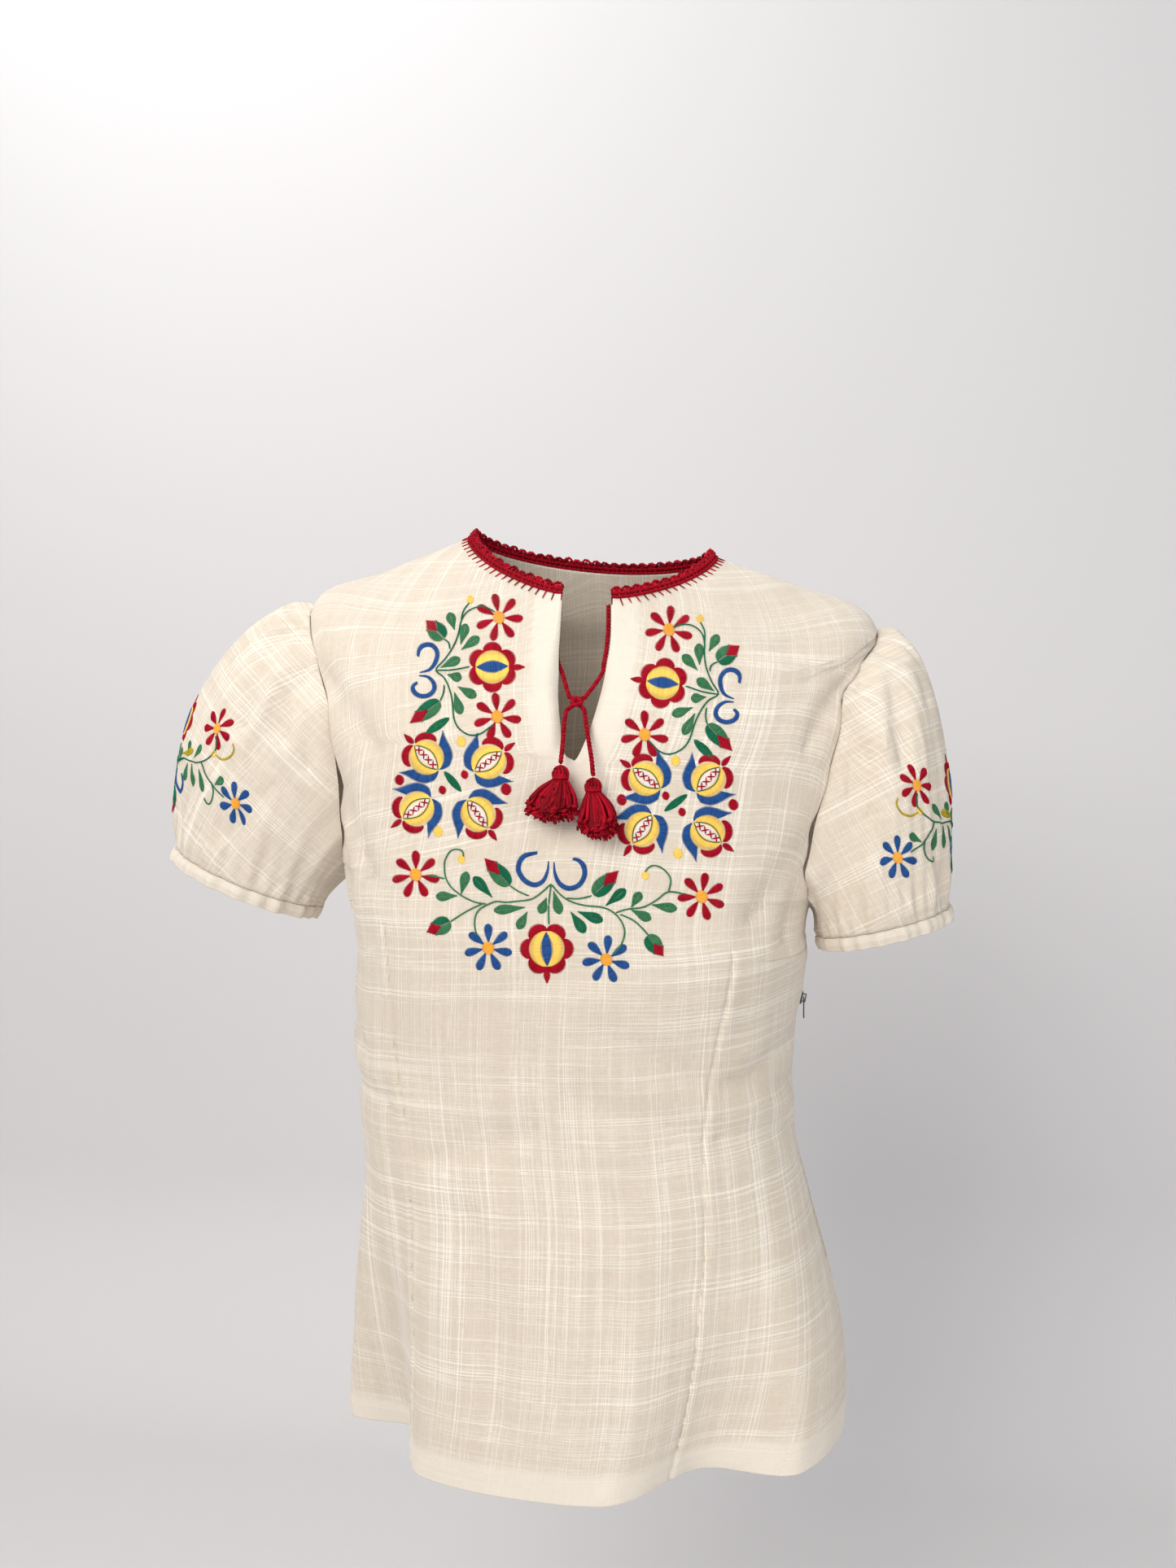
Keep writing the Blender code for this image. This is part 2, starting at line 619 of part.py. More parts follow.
def edging_frame(angle):
    """Start point of the edging at an angle round the neck, the way it stands and the way it faces."""
    base = body_point(angle, NECK)
    outward = Vector((base.x - SECTIONS[NECK].shift, base.y * EDGING_FACE_STRETCH, 0.0)).normalized()
    rise = EDGING_RISE_SIDE + (EDGING_RISE_FRONT - EDGING_RISE_SIDE) * math.cos(rad(angle)) ** 2
    stand = Vector((0.0, 0.0, math.sin(rad(rise)))) - outward * math.cos(rad(rise))
    face = Vector((0.0, 0.0, math.cos(rad(rise)))) + outward * math.sin(rad(rise))
    return base, stand, face


def make_neck_edging(crochet, collection):
    """Scalloped band round the neck, from one corner of the slit round the back to the other."""
    build = bmesh.new()
    sweep = 360 - 2 * EDGING_END_ANGLE
    rings = []
    for step in range(EDGING_STEPS + 1):
        angle = turned(EDGING_END_ANGLE + sweep * step / EDGING_STEPS)
        base, stand, face = edging_frame(angle)
        reach = EDGING_WIDTH + SCALLOP * abs(math.sin(math.pi * SCALLOPS * step / EDGING_STEPS))
        corners = (
            base + stand * EDGING_START + face * EDGING_HALF_THICK,
            base + stand * (EDGING_START + reach) + face * EDGING_HALF_THICK,
            base + stand * (EDGING_START + reach) - face * EDGING_HALF_THICK,
            base + stand * EDGING_START - face * EDGING_HALF_THICK,
        )
        rings.append([build.verts.new(corner) for corner in corners])
    close_tube(build, rings)
    mesh = bpy.data.meshes.new("neck_edging")
    build.to_mesh(mesh)
    build.free()
    return new_object("neck_edging", mesh, crochet, collection)


def close_tube(build, rings):
    """Walls between the rings and a cap on each end, all facing out."""
    sides = len(rings[0])
    for low, high in zip(rings, rings[1:]):
        for index in range(sides):
            nxt = (index + 1) % sides
            build.faces.new((low[index], low[nxt], high[nxt], high[index]))
    build.faces.new(rings[0][::-1])
    build.faces.new(rings[-1])
    bmesh.ops.recalc_face_normals(build, faces=build.faces)


def smooth_route(points):
    """Points at the cord's spacing on a smooth curve through the route's own points."""
    Row = namedtuple("Row", "x y z")
    rows = [Row(*point) for point in points]
    steps = CORD_CURVE_STEPS * (len(rows) - 1)
    fine = [Vector(between(rows, index / CORD_CURVE_STEPS)) for index in range(steps + 1)]
    length = sum((b - a).length for a, b in zip(fine, fine[1:]))
    count = max(2, round(length / CORD_SPACING))
    spaced, walked, target = [fine[0]], 0.0, length / count
    for a, b in zip(fine, fine[1:]):
        step = (b - a).length
        while walked + step >= target - 1e-9 and len(spaced) < count:
            spaced.append(a.lerp(b, (target - walked) / step))
            target += length / count
        walked += step
    return spaced + [fine[-1]]


def upper_route(side, runs, knot_way):
    """Points of a cord's upper part, from the neck down the slit to just short of the knot."""
    points = []
    for run in runs:
        edge = panel_point(side, 0.0, run.level, True, run.inset)
        points.append(edge - Vector((side * run.beside, 0.0, 0.0)))
    return points + knot_end(knot_way)[::-1]


def tail_route(knot_way, points):
    return knot_end(knot_way) + [Vector(point) for point in points]


def knot_end(knot_way):
    """A cord's end at the knot and the point before it, so that its end face looks at the knot."""
    way = knot_way.normalized()
    return [KNOT_MIDDLE + way * reach for reach in (CORD_TO_KNOT, CORD_TO_KNOT + CORD_RADIUS)]


def make_cord(name, route, crochet, collection):
    curve = bpy.data.curves.new(name, "CURVE")
    curve.dimensions = "3D"
    curve.bevel_depth = CORD_RADIUS
    curve.bevel_resolution = 2
    curve.use_fill_caps = True
    points = smooth_route(route)
    spline = curve.splines.new("POLY")
    spline.points.add(len(points) - 1)
    for target, point in zip(spline.points, points):
        target.co = (*point, 1.0)
    return new_object(name, curve, crochet, collection)


def make_knot(crochet, collection):
    bpy.ops.mesh.primitive_torus_add(
        location=KNOT_MIDDLE,
        rotation=(rad(KNOT_TILT), 0.0, 0.0),
        major_radius=KNOT_RADIUS,
        minor_radius=KNOT_CORD_RADIUS,
        major_segments=12,
        minor_segments=8,
    )
    return adopt("tie_knot", crochet, collection)


def adopt(name, material, collection):
    """Takes the primitive just added into the collection under its own name."""
    obj = bpy.context.object
    obj.name = name
    obj.data.name = name
    obj.data.materials.append(material)
    for old in list(obj.users_collection):
        old.objects.unlink(obj)
    collection.objects.link(obj)
    return obj


def make_tassel(tassel, crochet, collection):
    """Round head on the cord's end, with every lower face drawn out into one lock."""
    build = bmesh.new()
    bmesh.ops.create_uvsphere(
        build, u_segments=TASSEL_SEGMENTS, v_segments=TASSEL_RINGS, radius=TASSEL_HEAD_RADIUS
    )
    for vert in build.verts:
        vert.co.z *= TASSEL_HEAD_STRETCH
    build.normal_update()
    lower = [face for face in build.faces if face.normal.z < TASSEL_LOWER_NORMAL]
    ways = [Vector((face.normal.x, face.normal.y * TASSEL_FLATNESS, 0.0)) for face in lower]
    bmesh.ops.inset_individual(build, faces=lower, thickness=TASSEL_HEAD_RADIUS * TASSEL_LOCK_INSET)
    for length, flare in TASSEL_LOCK_STEPS:
        build.normal_update()
        looks = [face.normal.copy() for face in lower]
        lower = bmesh.ops.extrude_discrete_faces(build, faces=lower)["faces"]
        for face, look, way in zip(lower, looks, ways):
            fall = Vector((tassel.lean_x, tassel.lean_y, -1.0))
            heading = (way * flare * tassel.flare + fall).normalized()
            turn = look.rotation_difference(heading)
            middle = face.calc_center_median()
            for vert in face.verts:
                vert.co = middle + turn @ (vert.co - middle) * TASSEL_LOCK_SPREAD + heading * length
    bmesh.ops.recalc_face_normals(build, faces=build.faces)
    mesh = bpy.data.meshes.new(tassel.name)
    build.to_mesh(mesh)
    build.free()
    obj = new_object(tassel.name, mesh, crochet, collection)
    obj.location = Vector(tassel.cord_end) - Vector((0.0, 0.0, TASSEL_DROP))
    return obj


def make_side_zip(tape, collection):
    """Tape behind the seam's two edges, with the chain standing up between them."""
    build = bmesh.new()
    rings = []
    for step in range(ZIP_STATIONS + 1):
        level = ZIP_BOTTOM_LEVEL + (ZIP_TOP_LEVEL - ZIP_BOTTOM_LEVEL) * step / ZIP_STATIONS
        row = between(SECTIONS, level)
        profile = (
            (-ZIP_HALF_TAPE, ZIP_TAPE_BELOW_FACE),
            (-ZIP_HALF_CHAIN, ZIP_TAPE_BELOW_FACE),
            (-ZIP_HALF_CHAIN, ZIP_CHAIN_BELOW_FACE),
            (ZIP_HALF_CHAIN, ZIP_CHAIN_BELOW_FACE),
            (ZIP_HALF_CHAIN, ZIP_TAPE_BELOW_FACE),
            (ZIP_HALF_TAPE, ZIP_TAPE_BELOW_FACE),
            (ZIP_HALF_TAPE, ZIP_TAPE_BELOW_FACE + ZIP_TAPE_THICK),
            (-ZIP_HALF_TAPE, ZIP_TAPE_BELOW_FACE + ZIP_TAPE_THICK),
        )
        ring = []
        for across, below in profile:
            depth = row.back if across > 0 else row.front
            angle = SIDE_ANGLE + math.degrees(across / depth)
            ring.append(build.verts.new(body_point(angle, level, below)))
        rings.append(ring)
    close_tube(build, rings)
    mesh = bpy.data.meshes.new("side_zip")
    build.to_mesh(mesh)
    build.free()
    return new_object("side_zip", mesh, tape, collection)


def zip_frame():
    """Middle of the slider on the side seam, with the ways up the seam, outwards and to the back."""
    middle = body_point(SIDE_ANGLE, SLIDER_LEVEL)
    above, below = (body_point(SIDE_ANGLE, SLIDER_LEVEL + step) for step in (FRAME_STEP_LEVEL, -FRAME_STEP_LEVEL))
    behind, before = (body_point(SIDE_ANGLE + step, SLIDER_LEVEL) for step in (FRAME_STEP_ANGLE, -FRAME_STEP_ANGLE))
    up = (above - below).normalized()
    back = (behind - before).normalized()
    out = back.cross(up).normalized()
    return middle, up, out, out.cross(up).normalized() * -1


def extruded(name, outline, half_width, collection):
    """Solid of an outline in the slider's outward and upward plane, as wide as given across it."""
    middle, up, out, back = zip_frame()
    build = bmesh.new()
    rings = [
        [build.verts.new(middle + out * o + up * u + back * side * half_width) for o, u in outline]
        for side in (-1, 1)
    ]
    close_tube(build, rings)
    mesh = bpy.data.meshes.new(name)
    build.to_mesh(mesh)
    build.free()
    obj = bpy.data.objects.new(name, mesh)
    collection.objects.link(obj)
    return obj


def make_zip_slider(metal, collection, cutters):
    """Slider body on the seam's face, with the bridge that holds the pull."""
    low, high = SLIDER_CLEAR, SLIDER_CLEAR + SLIDER_THICK
    half = SLIDER_LENGTH / 2
    chamfer = SLIDER_CHAMFER
    body = (
        (low, -half), (low, half), (high - chamfer, half), (high, half - chamfer),
        (high, -half + chamfer), (high - chamfer, -half),
    )
    slider = extruded("zip_slider", body, SLIDER_WIDTH / 2, collection)
    slider.data.materials.append(metal)
    inner, outer = high + BRIDGE_INSIDE, high + BRIDGE_INSIDE + BRIDGE_THICK
    foot = BRIDGE_HALF_LENGTH
    bridge = (
        (high - chamfer, foot), (high - chamfer, foot - BRIDGE_THICK),
        (inner, foot - BRIDGE_THICK), (inner, -foot + BRIDGE_THICK),
        (high + SLIDER_CLEAR, -foot + BRIDGE_THICK), (high + SLIDER_CLEAR, -foot),
        (outer, -foot), (outer, foot),
    )
    helper = extruded("bridge_helper", bridge, BRIDGE_WIDTH / 2, cutters)
    helper.hide_render = True
    helper.display_type = "WIRE"
    join = slider.modifiers.new("bridge", "BOOLEAN")
    join.operation = "UNION"
    join.object = helper
    return slider


def make_zip_pull(metal, collection, cutters):
    """Pull tab that hangs from its top bar, with a window for the bridge. Its origin is on the bar's axis."""
    middle, _, out, back = zip_frame()
    bar = middle + out * (SLIDER_CLEAR + SLIDER_THICK + BRIDGE_INSIDE / 2)
    outward = Vector((out.x, out.y, 0.0)).normalized()
    half = PULL_WIDTH / 2
    top, bottom = PULL_BAR / 2, PULL_BAR / 2 - PULL_LENGTH
    below_window = -PULL_WINDOW[1] - PULL_BAR
    going_down = [(half, top), (half, below_window)]
    going_down += [(half * row.half_width, bottom * row.height) for row in PULL_ROWS]
    outline = going_down + [(-across, height) for across, height in reversed(going_down)]
    pull = slab("zip_pull", bar, outline, PULL_THICK / 2, outward, back, collection)
    pull.data.materials.append(metal)
    window_half = PULL_WINDOW[0] / 2
    window_top, window_bottom = -PULL_BAR / 2, -PULL_BAR / 2 - PULL_WINDOW[1]
    window = (
        (-window_half, window_top), (window_half, window_top),
        (window_half, window_bottom), (-window_half, window_bottom),
    )
    helper = slab("window_helper", bar, window, PULL_THICK, outward, back, cutters)
    helper.hide_render = True
    helper.display_type = "WIRE"
    cut = pull.modifiers.new("window", "BOOLEAN")
    cut.operation = "DIFFERENCE"
    cut.object = helper
    return pull


def slab(name, origin, outline, half_thick, outward, across, collection):
    """Upright plate of an outline across and up, with its object's origin at the given point."""
    build = bmesh.new()
    rings = [
        [build.verts.new(across * a + Vector((0.0, 0.0, u)) + outward * side * half_thick) for a, u in outline]
        for side in (-1, 1)
    ]
    close_tube(build, rings)
    mesh = bpy.data.meshes.new(name)
    build.to_mesh(mesh)
    build.free()
    obj = bpy.data.objects.new(name, mesh)
    obj.location = origin
    collection.objects.link(obj)
    return obj


def main():
    for obj in list(bpy.data.objects):
        bpy.data.objects.remove(obj, do_unlink=True)
    collection = bpy.data.collections.new("embroidered_folk_blouse")
    cutters = bpy.data.collections.new("cutters")
    for made in (collection, cutters):
        bpy.context.scene.collection.children.link(made)

    cloth = material("slub_cotton", (0.80, 0.76, 0.67), 0.85)
    crochet = material("crimson_yarn", (0.45, 0.01, 0.03), 0.8)
    tape = material("zip_tape", (0.78, 0.75, 0.68), 0.7)
    metal = material("zip_metal", (0.30, 0.30, 0.31), 0.35, 1.0)

    make_front(cloth, collection)
    make_back(cloth, collection)
    make_slit_facing(cloth, collection)
    for sleeve in SLEEVES:
        make_sleeve(sleeve, cloth, collection)
        make_cuff(sleeve, cloth, collection)
    make_neck_edging(crochet, collection)
    routes = (
        ("tie_upper_right", upper_route(-1, UPPER_RIGHT_RUN, KNOT_TO_UPPER_RIGHT)),
        ("tie_upper_left", upper_route(1, UPPER_LEFT_RUN, KNOT_TO_UPPER_LEFT)),
        ("tie_tail_right", tail_route(KNOT_TO_TAIL_RIGHT, TAIL_RIGHT_ROUTE)),
        ("tie_tail_left", tail_route(KNOT_TO_TAIL_LEFT, TAIL_LEFT_ROUTE)),
    )
    for name, route in routes:
        make_cord(name, route, crochet, collection)
    make_knot(crochet, collection)
    for tassel in TASSELS:
        make_tassel(tassel, crochet, collection)
    make_side_zip(tape, collection)
    make_zip_slider(metal, collection, cutters)
    make_zip_pull(metal, collection, cutters)


main()
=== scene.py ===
"""Looks of the embroidered folk blouse: cloth, thread work, crochet, tie cord, zip, light and camera."""

import logging
import math
from collections import namedtuple
from collections.abc import Callable, Iterable, Sequence
from dataclasses import dataclass
from enum import Enum

import bpy
import numpy as np
from bpy.types import Material, Node, NodeSocket, NodeTree, Object
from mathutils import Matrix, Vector
from mathutils.bvhtree import BVHTree


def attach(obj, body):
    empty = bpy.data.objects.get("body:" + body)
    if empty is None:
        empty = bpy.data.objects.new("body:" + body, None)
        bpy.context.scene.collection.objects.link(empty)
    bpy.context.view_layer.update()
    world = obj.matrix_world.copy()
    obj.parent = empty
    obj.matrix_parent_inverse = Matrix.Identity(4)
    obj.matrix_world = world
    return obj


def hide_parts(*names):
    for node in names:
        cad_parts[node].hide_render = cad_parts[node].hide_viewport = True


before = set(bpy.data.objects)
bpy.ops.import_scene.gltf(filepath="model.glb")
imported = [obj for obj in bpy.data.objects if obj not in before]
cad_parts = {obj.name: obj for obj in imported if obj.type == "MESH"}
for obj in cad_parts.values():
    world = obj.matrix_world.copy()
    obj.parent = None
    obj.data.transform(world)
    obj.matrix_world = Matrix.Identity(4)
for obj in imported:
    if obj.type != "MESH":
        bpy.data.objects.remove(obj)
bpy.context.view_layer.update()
LOG = logging.getLogger("blouse")
BODY = "blouse"
MM = 0.001
Array = np.ndarray

# Rings of the body from the hem to the neck, the same as the part's own.
Section = namedtuple(
    "Section",
    "side_z front_z back_z half_width front back square shift lean turn dart_right dart_left rows",
)
SECTIONS = tuple(Section(*row) for row in (
    (-0.612, -0.616, -0.610, 0.176, 0.118, 0.112, 2.1, 0.003, -3.8, 9.5, 34, 27, 2),
    (-0.560, -0.560, -0.557, 0.174, 0.115, 0.109, 2.2, 0.005, -2.5, 7.0, 34, 28, 2),
    (-0.500, -0.500, -0.498, 0.166, 0.110, 0.105, 2.3, 0.002, 0.0, 4.5, 36, 30, 2),
    (-0.450, -0.450, -0.450, 0.157, 0.105, 0.099, 2.3, -0.002, 1.0, 2.5, 38, 33, 1),
    (-0.405, -0.405, -0.405, 0.153, 0.102, 0.096, 2.3, -0.008, 2.0, 1.5, 38, 35, 2),
    (-0.350, -0.350, -0.350, 0.154, 0.107, 0.098, 2.3, -0.011, 2.6, 1.0, 40, 38, 2),
    (-0.285, -0.285, -0.285, 0.158, 0.117, 0.101, 2.3, -0.005, 3.6, 2.0, 41, 40, 2),
    (-0.246, -0.248, -0.246, 0.163, 0.116, 0.104, 2.3, -0.008, 4.0, 1.0, 41, 40, 4),
    (-0.146, -0.157, -0.156, 0.186, 0.104, 0.104, 2.4, -0.003, 4.2, -4.0, 40, 40, 4),
    (-0.053, -0.106, -0.080, 0.199, 0.084, 0.088, 2.4, 0.003, 3.0, -3.5, 42, 42, 2),
    (-0.025, -0.079, -0.046, 0.145, 0.072, 0.066, 2.2, 0.003, 3.0, -2.5, 42, 42, 2),
    (-0.004, -0.047, -0.014, 0.089, 0.058, 0.046, 2.0, 0.003, 5.5, -2.0, 42, 42, 0),
))
ARMPIT = 7
SLIT_LEVEL = 8.0
TIP = 9
NECK = len(SECTIONS) - 1
FRONT_DIP_POWER = 1.3

ArmholeRow = namedtuple("ArmholeRow", "level front_right front_left back")
ARMHOLE = tuple(ArmholeRow(*row) for row in (
    (7.0, 90, 90, 90),
    (7.12, 74, 74, 74),
    (7.35, 65, 65, 67),
    (7.7, 61, 61, 64),
    (8.2, 61, 60, 64),
    (8.6, 65, 56, 68),
    (8.85, 74, 63, 76),
    (9.0, 90, 90, 90),
))
UNDERARM_LEVELS = (7.04, 7.12, 7.22)

Fold = namedtuple("Fold", "angle half_width depth fades_at")
FOLDS = tuple(Fold(*row) for row in (
    (-50, 22, -0.034, 3.4),
    (36, 24, -0.034, 3.2),
    (60, 20, 0.003, 3.0),
    (-74, 14, 0.003, 2.6),
    (135, 20, -0.010, 3.2),
    (-140, 22, -0.011, 3.4),
    (178, 26, 0.006, 2.8),
))
DART_FULLNESS = 0.006
FULLNESS_ANGLE = 38.0
FULLNESS_HALF_ANGLE = 34.0
FULLNESS_LEVEL = 6.2
FULLNESS_HALF_LEVELS = 1.5
DART_COLUMN = 5 / 12

# How far each slit edge stands from the centre line, bottom to neck, on a square-root scale.
SlitRow = namedtuple("SlitRow", "right left")
SLIT_ROWS = tuple(SlitRow(*row) for row in (
    (0.0, 0.0),
    (0.0085, 0.0027),
    (0.0120, 0.0069),
    (0.0161, 0.0105),
    (0.0173, 0.0138),
    (0.0160, 0.0175),
    (0.0150, 0.0177),
))
SLIT_REACH = 34.0

ZIP_TOP_LEVEL = 5.66
ZIP_BOTTOM_LEVEL = 2.1
ZIP_HALF_GAP = 0.0021
ZIP_EASE = 0.1
ZIP_END_LEVELS = (ZIP_BOTTOM_LEVEL, ZIP_TOP_LEVEL, ZIP_TOP_LEVEL + ZIP_EASE)


def as_table(rows: Sequence[tuple]) -> Array:
    """The rows of a table of numbers as an array."""
    return np.array([tuple(row) for row in rows], float)


def between(table: Array, level: Array) -> Array:
    """Reads a table on a smooth curve through its rows.

    Args:
        table: one row for each whole level.
        level: where to read it, an array of any shape.

    Returns:
        The columns' values at each level, in a last axis of their own.
    """
    level = np.asarray(level, float)
    low = np.clip(np.floor(level).astype(int), 0, len(table) - 2)
    t = (level - low)[..., None]
    before, start, end, after = (table[np.clip(low + k, 0, len(table) - 1)] for k in (-1, 0, 1, 2))
    cube, square = t**3, t**2
    return (
        (2 * cube - 3 * square + 1) * start
        + (cube - 2 * square + t) * (end - before) / 2
        + (3 * square - 2 * cube) * end
        + (cube - square) * (after - start) / 2
    )


def clamp(values: Array) -> Array:
    """The values, held between 0 and 1."""
    return np.clip(values, 0.0, 1.0)


def swell(distance: Array) -> Array:
    """A smooth bump: 1 at distance 0, and 0 from distance 1 on."""
    return np.where(np.abs(distance) < 1, (1 - np.asarray(distance) ** 2) ** 2, 0.0)


def ridge(distance: Array, width: float) -> Array:
    """A narrow bump of the given width round distance 0."""
    return np.exp(-((np.asarray(distance) / width) ** 2))


def unit(vectors: Array) -> Array:
    """The vectors at length 1."""
    return vectors / np.maximum(np.linalg.norm(vectors, axis=-1, keepdims=True), 1e-12)


def distances(points: Array, axis: int = 0) -> Array:
    """Distance from the start of a line, or of each line of a grid, to each of its points."""
    steps = np.linalg.norm(np.diff(points, axis=axis), axis=-1)
    start = np.zeros_like(np.take(steps, [0], axis))
    return np.concatenate([start, np.cumsum(steps, axis=axis)], axis=axis)


class Panel(Enum):
    """The two panels of the body."""

    FRONT = "front"
    BACK = "back"


class BodyForm:
    """The blouse's body: a point for each angle round it and each level up it."""

    def __init__(self) -> None:
        """Reads the tables."""
        self.table = as_table(SECTIONS)
        self.slit = as_table(SLIT_ROWS)

    def slit_edge(self, side: Array, level: Array) -> Array:
        """Signed distance of the slit's edge from the centre line."""
        up = clamp((np.asarray(level) - SLIT_LEVEL) / (NECK - SLIT_LEVEL))
        row = between(self.slit, (len(SLIT_ROWS) - 1) * np.sqrt(up))
        return np.where(np.asarray(side) > 0, row[..., 1], -row[..., 0])

    def point(self, angle: Array, level: Array, inset: Array = 0.0) -> Array:
        """Points of the outer face.

        Args:
            angle: degrees from the centre front; 90 is the wearer's left side.
            level: height in rows of the table of sections.
            inset: how far in from the face, in metres.

        Returns:
            Points in the row frame, in a last axis of three.
        """
        angle, level = np.broadcast_arrays(np.asarray(angle, float), np.asarray(level, float))
        angle = (angle + 180) % 360 - 180
        row = dict(zip(Section._fields, np.moveaxis(between(self.table, level), -1, 0)))
        across, ahead = np.sin(np.radians(angle)), np.cos(np.radians(angle))
        is_front = ahead > 0
        depth = np.where(is_front, row["front"], row["back"])
        power = 2 / row["square"]
        x = row["half_width"] * np.copysign(np.abs(across) ** power, across)
        y = -depth * np.copysign(np.abs(ahead) ** power, ahead)
        dip = np.where(is_front, row["front_z"], row["back_z"])
        z = row["side_z"] + (dip - row["side_z"]) * np.abs(ahead) ** FRONT_DIP_POWER
        out = unit(np.stack([x / row["half_width"] ** 2, y / depth**2], -1))
        push = -np.asarray(inset) * np.ones_like(x)
        for fold in FOLDS:
            growth = np.maximum(0.0, 1 - level / fold.fades_at) ** 1.3
            gap = (angle - fold.angle + 180) % 360 - 180
            push = push + fold.depth * swell(gap / fold.half_width) * growth
        fullness = swell((np.abs(angle) - FULLNESS_ANGLE) / FULLNESS_HALF_ANGLE)
        push = push + DART_FULLNESS * fullness * swell((level - FULLNESS_LEVEL) / FULLNESS_HALF_LEVELS)
        x, y = x + out[..., 0] * push, y + out[..., 1] * push
        reach = np.maximum(0.0, 1 - np.abs(angle) / SLIT_REACH) ** 2
        opened = self.slit_edge(np.where(angle < 0, -1, 1), level) * reach
        x = x + np.where((level > SLIT_LEVEL) & is_front, opened, 0.0)
        turn = np.radians(row["turn"])
        x, y = x * np.cos(turn) + y * np.sin(turn), -x * np.sin(turn) + y * np.cos(turn)
        return np.stack([x + row["shift"], y, z - x * np.tan(np.radians(row["lean"]))], -1)

    def edge_angle(self, side: int, level: Array, panel: Panel) -> Array:
        """Angle of a panel's edge from its centre: the side seam, the armhole or the shoulder seam."""
        level = np.asarray(level, float)
        edge = "back" if panel is Panel.BACK else "front_left" if side > 0 else "front_right"
        found = np.full(level.shape, 90.0)
        for index, (low, high) in enumerate(zip(ARMHOLE, ARMHOLE[1:])):
            t = clamp((level - low.level) / (high.level - low.level))
            ease = t * t * (3 - 2 * t) if 0 < index < len(ARMHOLE) - 2 else t
            start, end = getattr(low, edge), getattr(high, edge)
            inside = (level > low.level) & (level <= high.level)
            found = np.where(inside, start + (end - start) * ease, found)
        return found

    def panel_angle(self, side: int, share: Array, level: Array, panel: Panel) -> Array:
        """Angle of a column: share 0 is the centre, 1 the edge. A front column follows the dart seam."""
        edge = self.edge_angle(side, level, panel)
        if panel is Panel.BACK:
            return share * edge
        row = between(self.table, level)
        column = Section._fields.index("dart_left" if side > 0 else "dart_right")
        bend = (row[..., column] / 90 - DART_COLUMN) / (DART_COLUMN * (1 - DART_COLUMN))
        return edge * (share + bend * share * (1 - share))

    def panel_point(
        self, side: int, share: Array, level: Array, panel: Panel, inset: float = 0.0
    ) -> Array:
        """Points of a panel, with its edge drawn back along the zip."""
        share, level = np.broadcast_arrays(np.asarray(share, float), np.asarray(level, float))
        angle = self.panel_angle(side, share, level, panel)
        if side > 0:
            row = between(self.table, level)
            from_end = np.minimum(level - ZIP_BOTTOM_LEVEL, ZIP_TOP_LEVEL - level) + ZIP_EASE
            opening = ZIP_HALF_GAP * clamp(from_end / ZIP_EASE)
            near_edge = clamp((share - 0.96) / 0.04)
            angle = angle - near_edge * np.degrees(opening / np.minimum(row[..., 4], row[..., 5]))
        angle = side * np.maximum(angle, 1e-4)
        return self.point(angle if panel is Panel.FRONT else 180 - angle, level, inset)


# The two bust darts: start and end, in degrees and levels.
BUST_DARTS = (((88, 6.30), (50, 6.24)), ((-88, 6.50), (-60, 6.74)))
BUST_DART_FORM = (0.0030, -0.0014)
# Largest creases of the photograph, and some like them on the hidden back: start and end in degrees
# and levels, half width and depth.
CREASES = {
    Panel.FRONT: (
        ((-70, 7.9), (-46, 7.1), 0.011, -0.0034),
        ((-60, 8.5), (-40, 7.9), 0.010, -0.0024),
        ((-64, 7.4), (-66, 6.6), 0.009, -0.0028),
        ((66, 7.7), (46, 7.0), 0.010, -0.0036),
        ((64, 7.4), (62, 6.7), 0.009, -0.0030),
        ((55, 8.75), (47, 8.2), 0.007, -0.0036),
        ((60, 8.9), (40, 9.4), 0.008, -0.0022),
        ((84, 5.4), (54, 5.0), 0.009, -0.0026),
        ((82, 4.7), (44, 4.9), 0.010, -0.0030),
        ((78, 4.2), (40, 4.2), 0.010, -0.0026),
        ((10, 5.4), (34, 4.9), 0.011, -0.0018),
        ((4, 4.7), (30, 4.3), 0.011, -0.0018),
        ((-86, 5.3), (-58, 4.9), 0.010, -0.0024),
        ((-84, 4.5), (-46, 4.3), 0.011, -0.0024),
        ((-4, 4.2), (-30, 3.7), 0.013, -0.0018),
        ((12, 3.4), (28, 2.0), 0.013, -0.0022),
        ((-18, 3.0), (-10, 0.8), 0.014, -0.0024),
        ((8, 2.4), (12, 0.3), 0.013, -0.0024),
        ((0, 7.5), (-12, 6.9), 0.010, -0.0014),
        ((14, 6.2), (-8, 5.7), 0.012, -0.0012),
        *((*ends, *BUST_DART_FORM) for ends in BUST_DARTS),
    ),
    Panel.BACK: (
        ((108, 7.8), (138, 7.1), 0.011, -0.0030),
        ((-110, 7.7), (-140, 7.2), 0.011, -0.0030),
        ((112, 5.2), (150, 4.8), 0.011, -0.0028),
        ((104, 4.4), (146, 4.2), 0.011, -0.0026),
        ((-112, 5.0), (-152, 4.6), 0.011, -0.0028),
        ((-106, 4.2), (-150, 4.0), 0.012, -0.0024),
        ((170, 5.8), (-164, 5.3), 0.012, -0.0020),
        ((150, 3.4), (164, 1.2), 0.013, -0.0024),
        ((-150, 3.2), (-166, 1.0), 0.013, -0.0024),
    ),
}
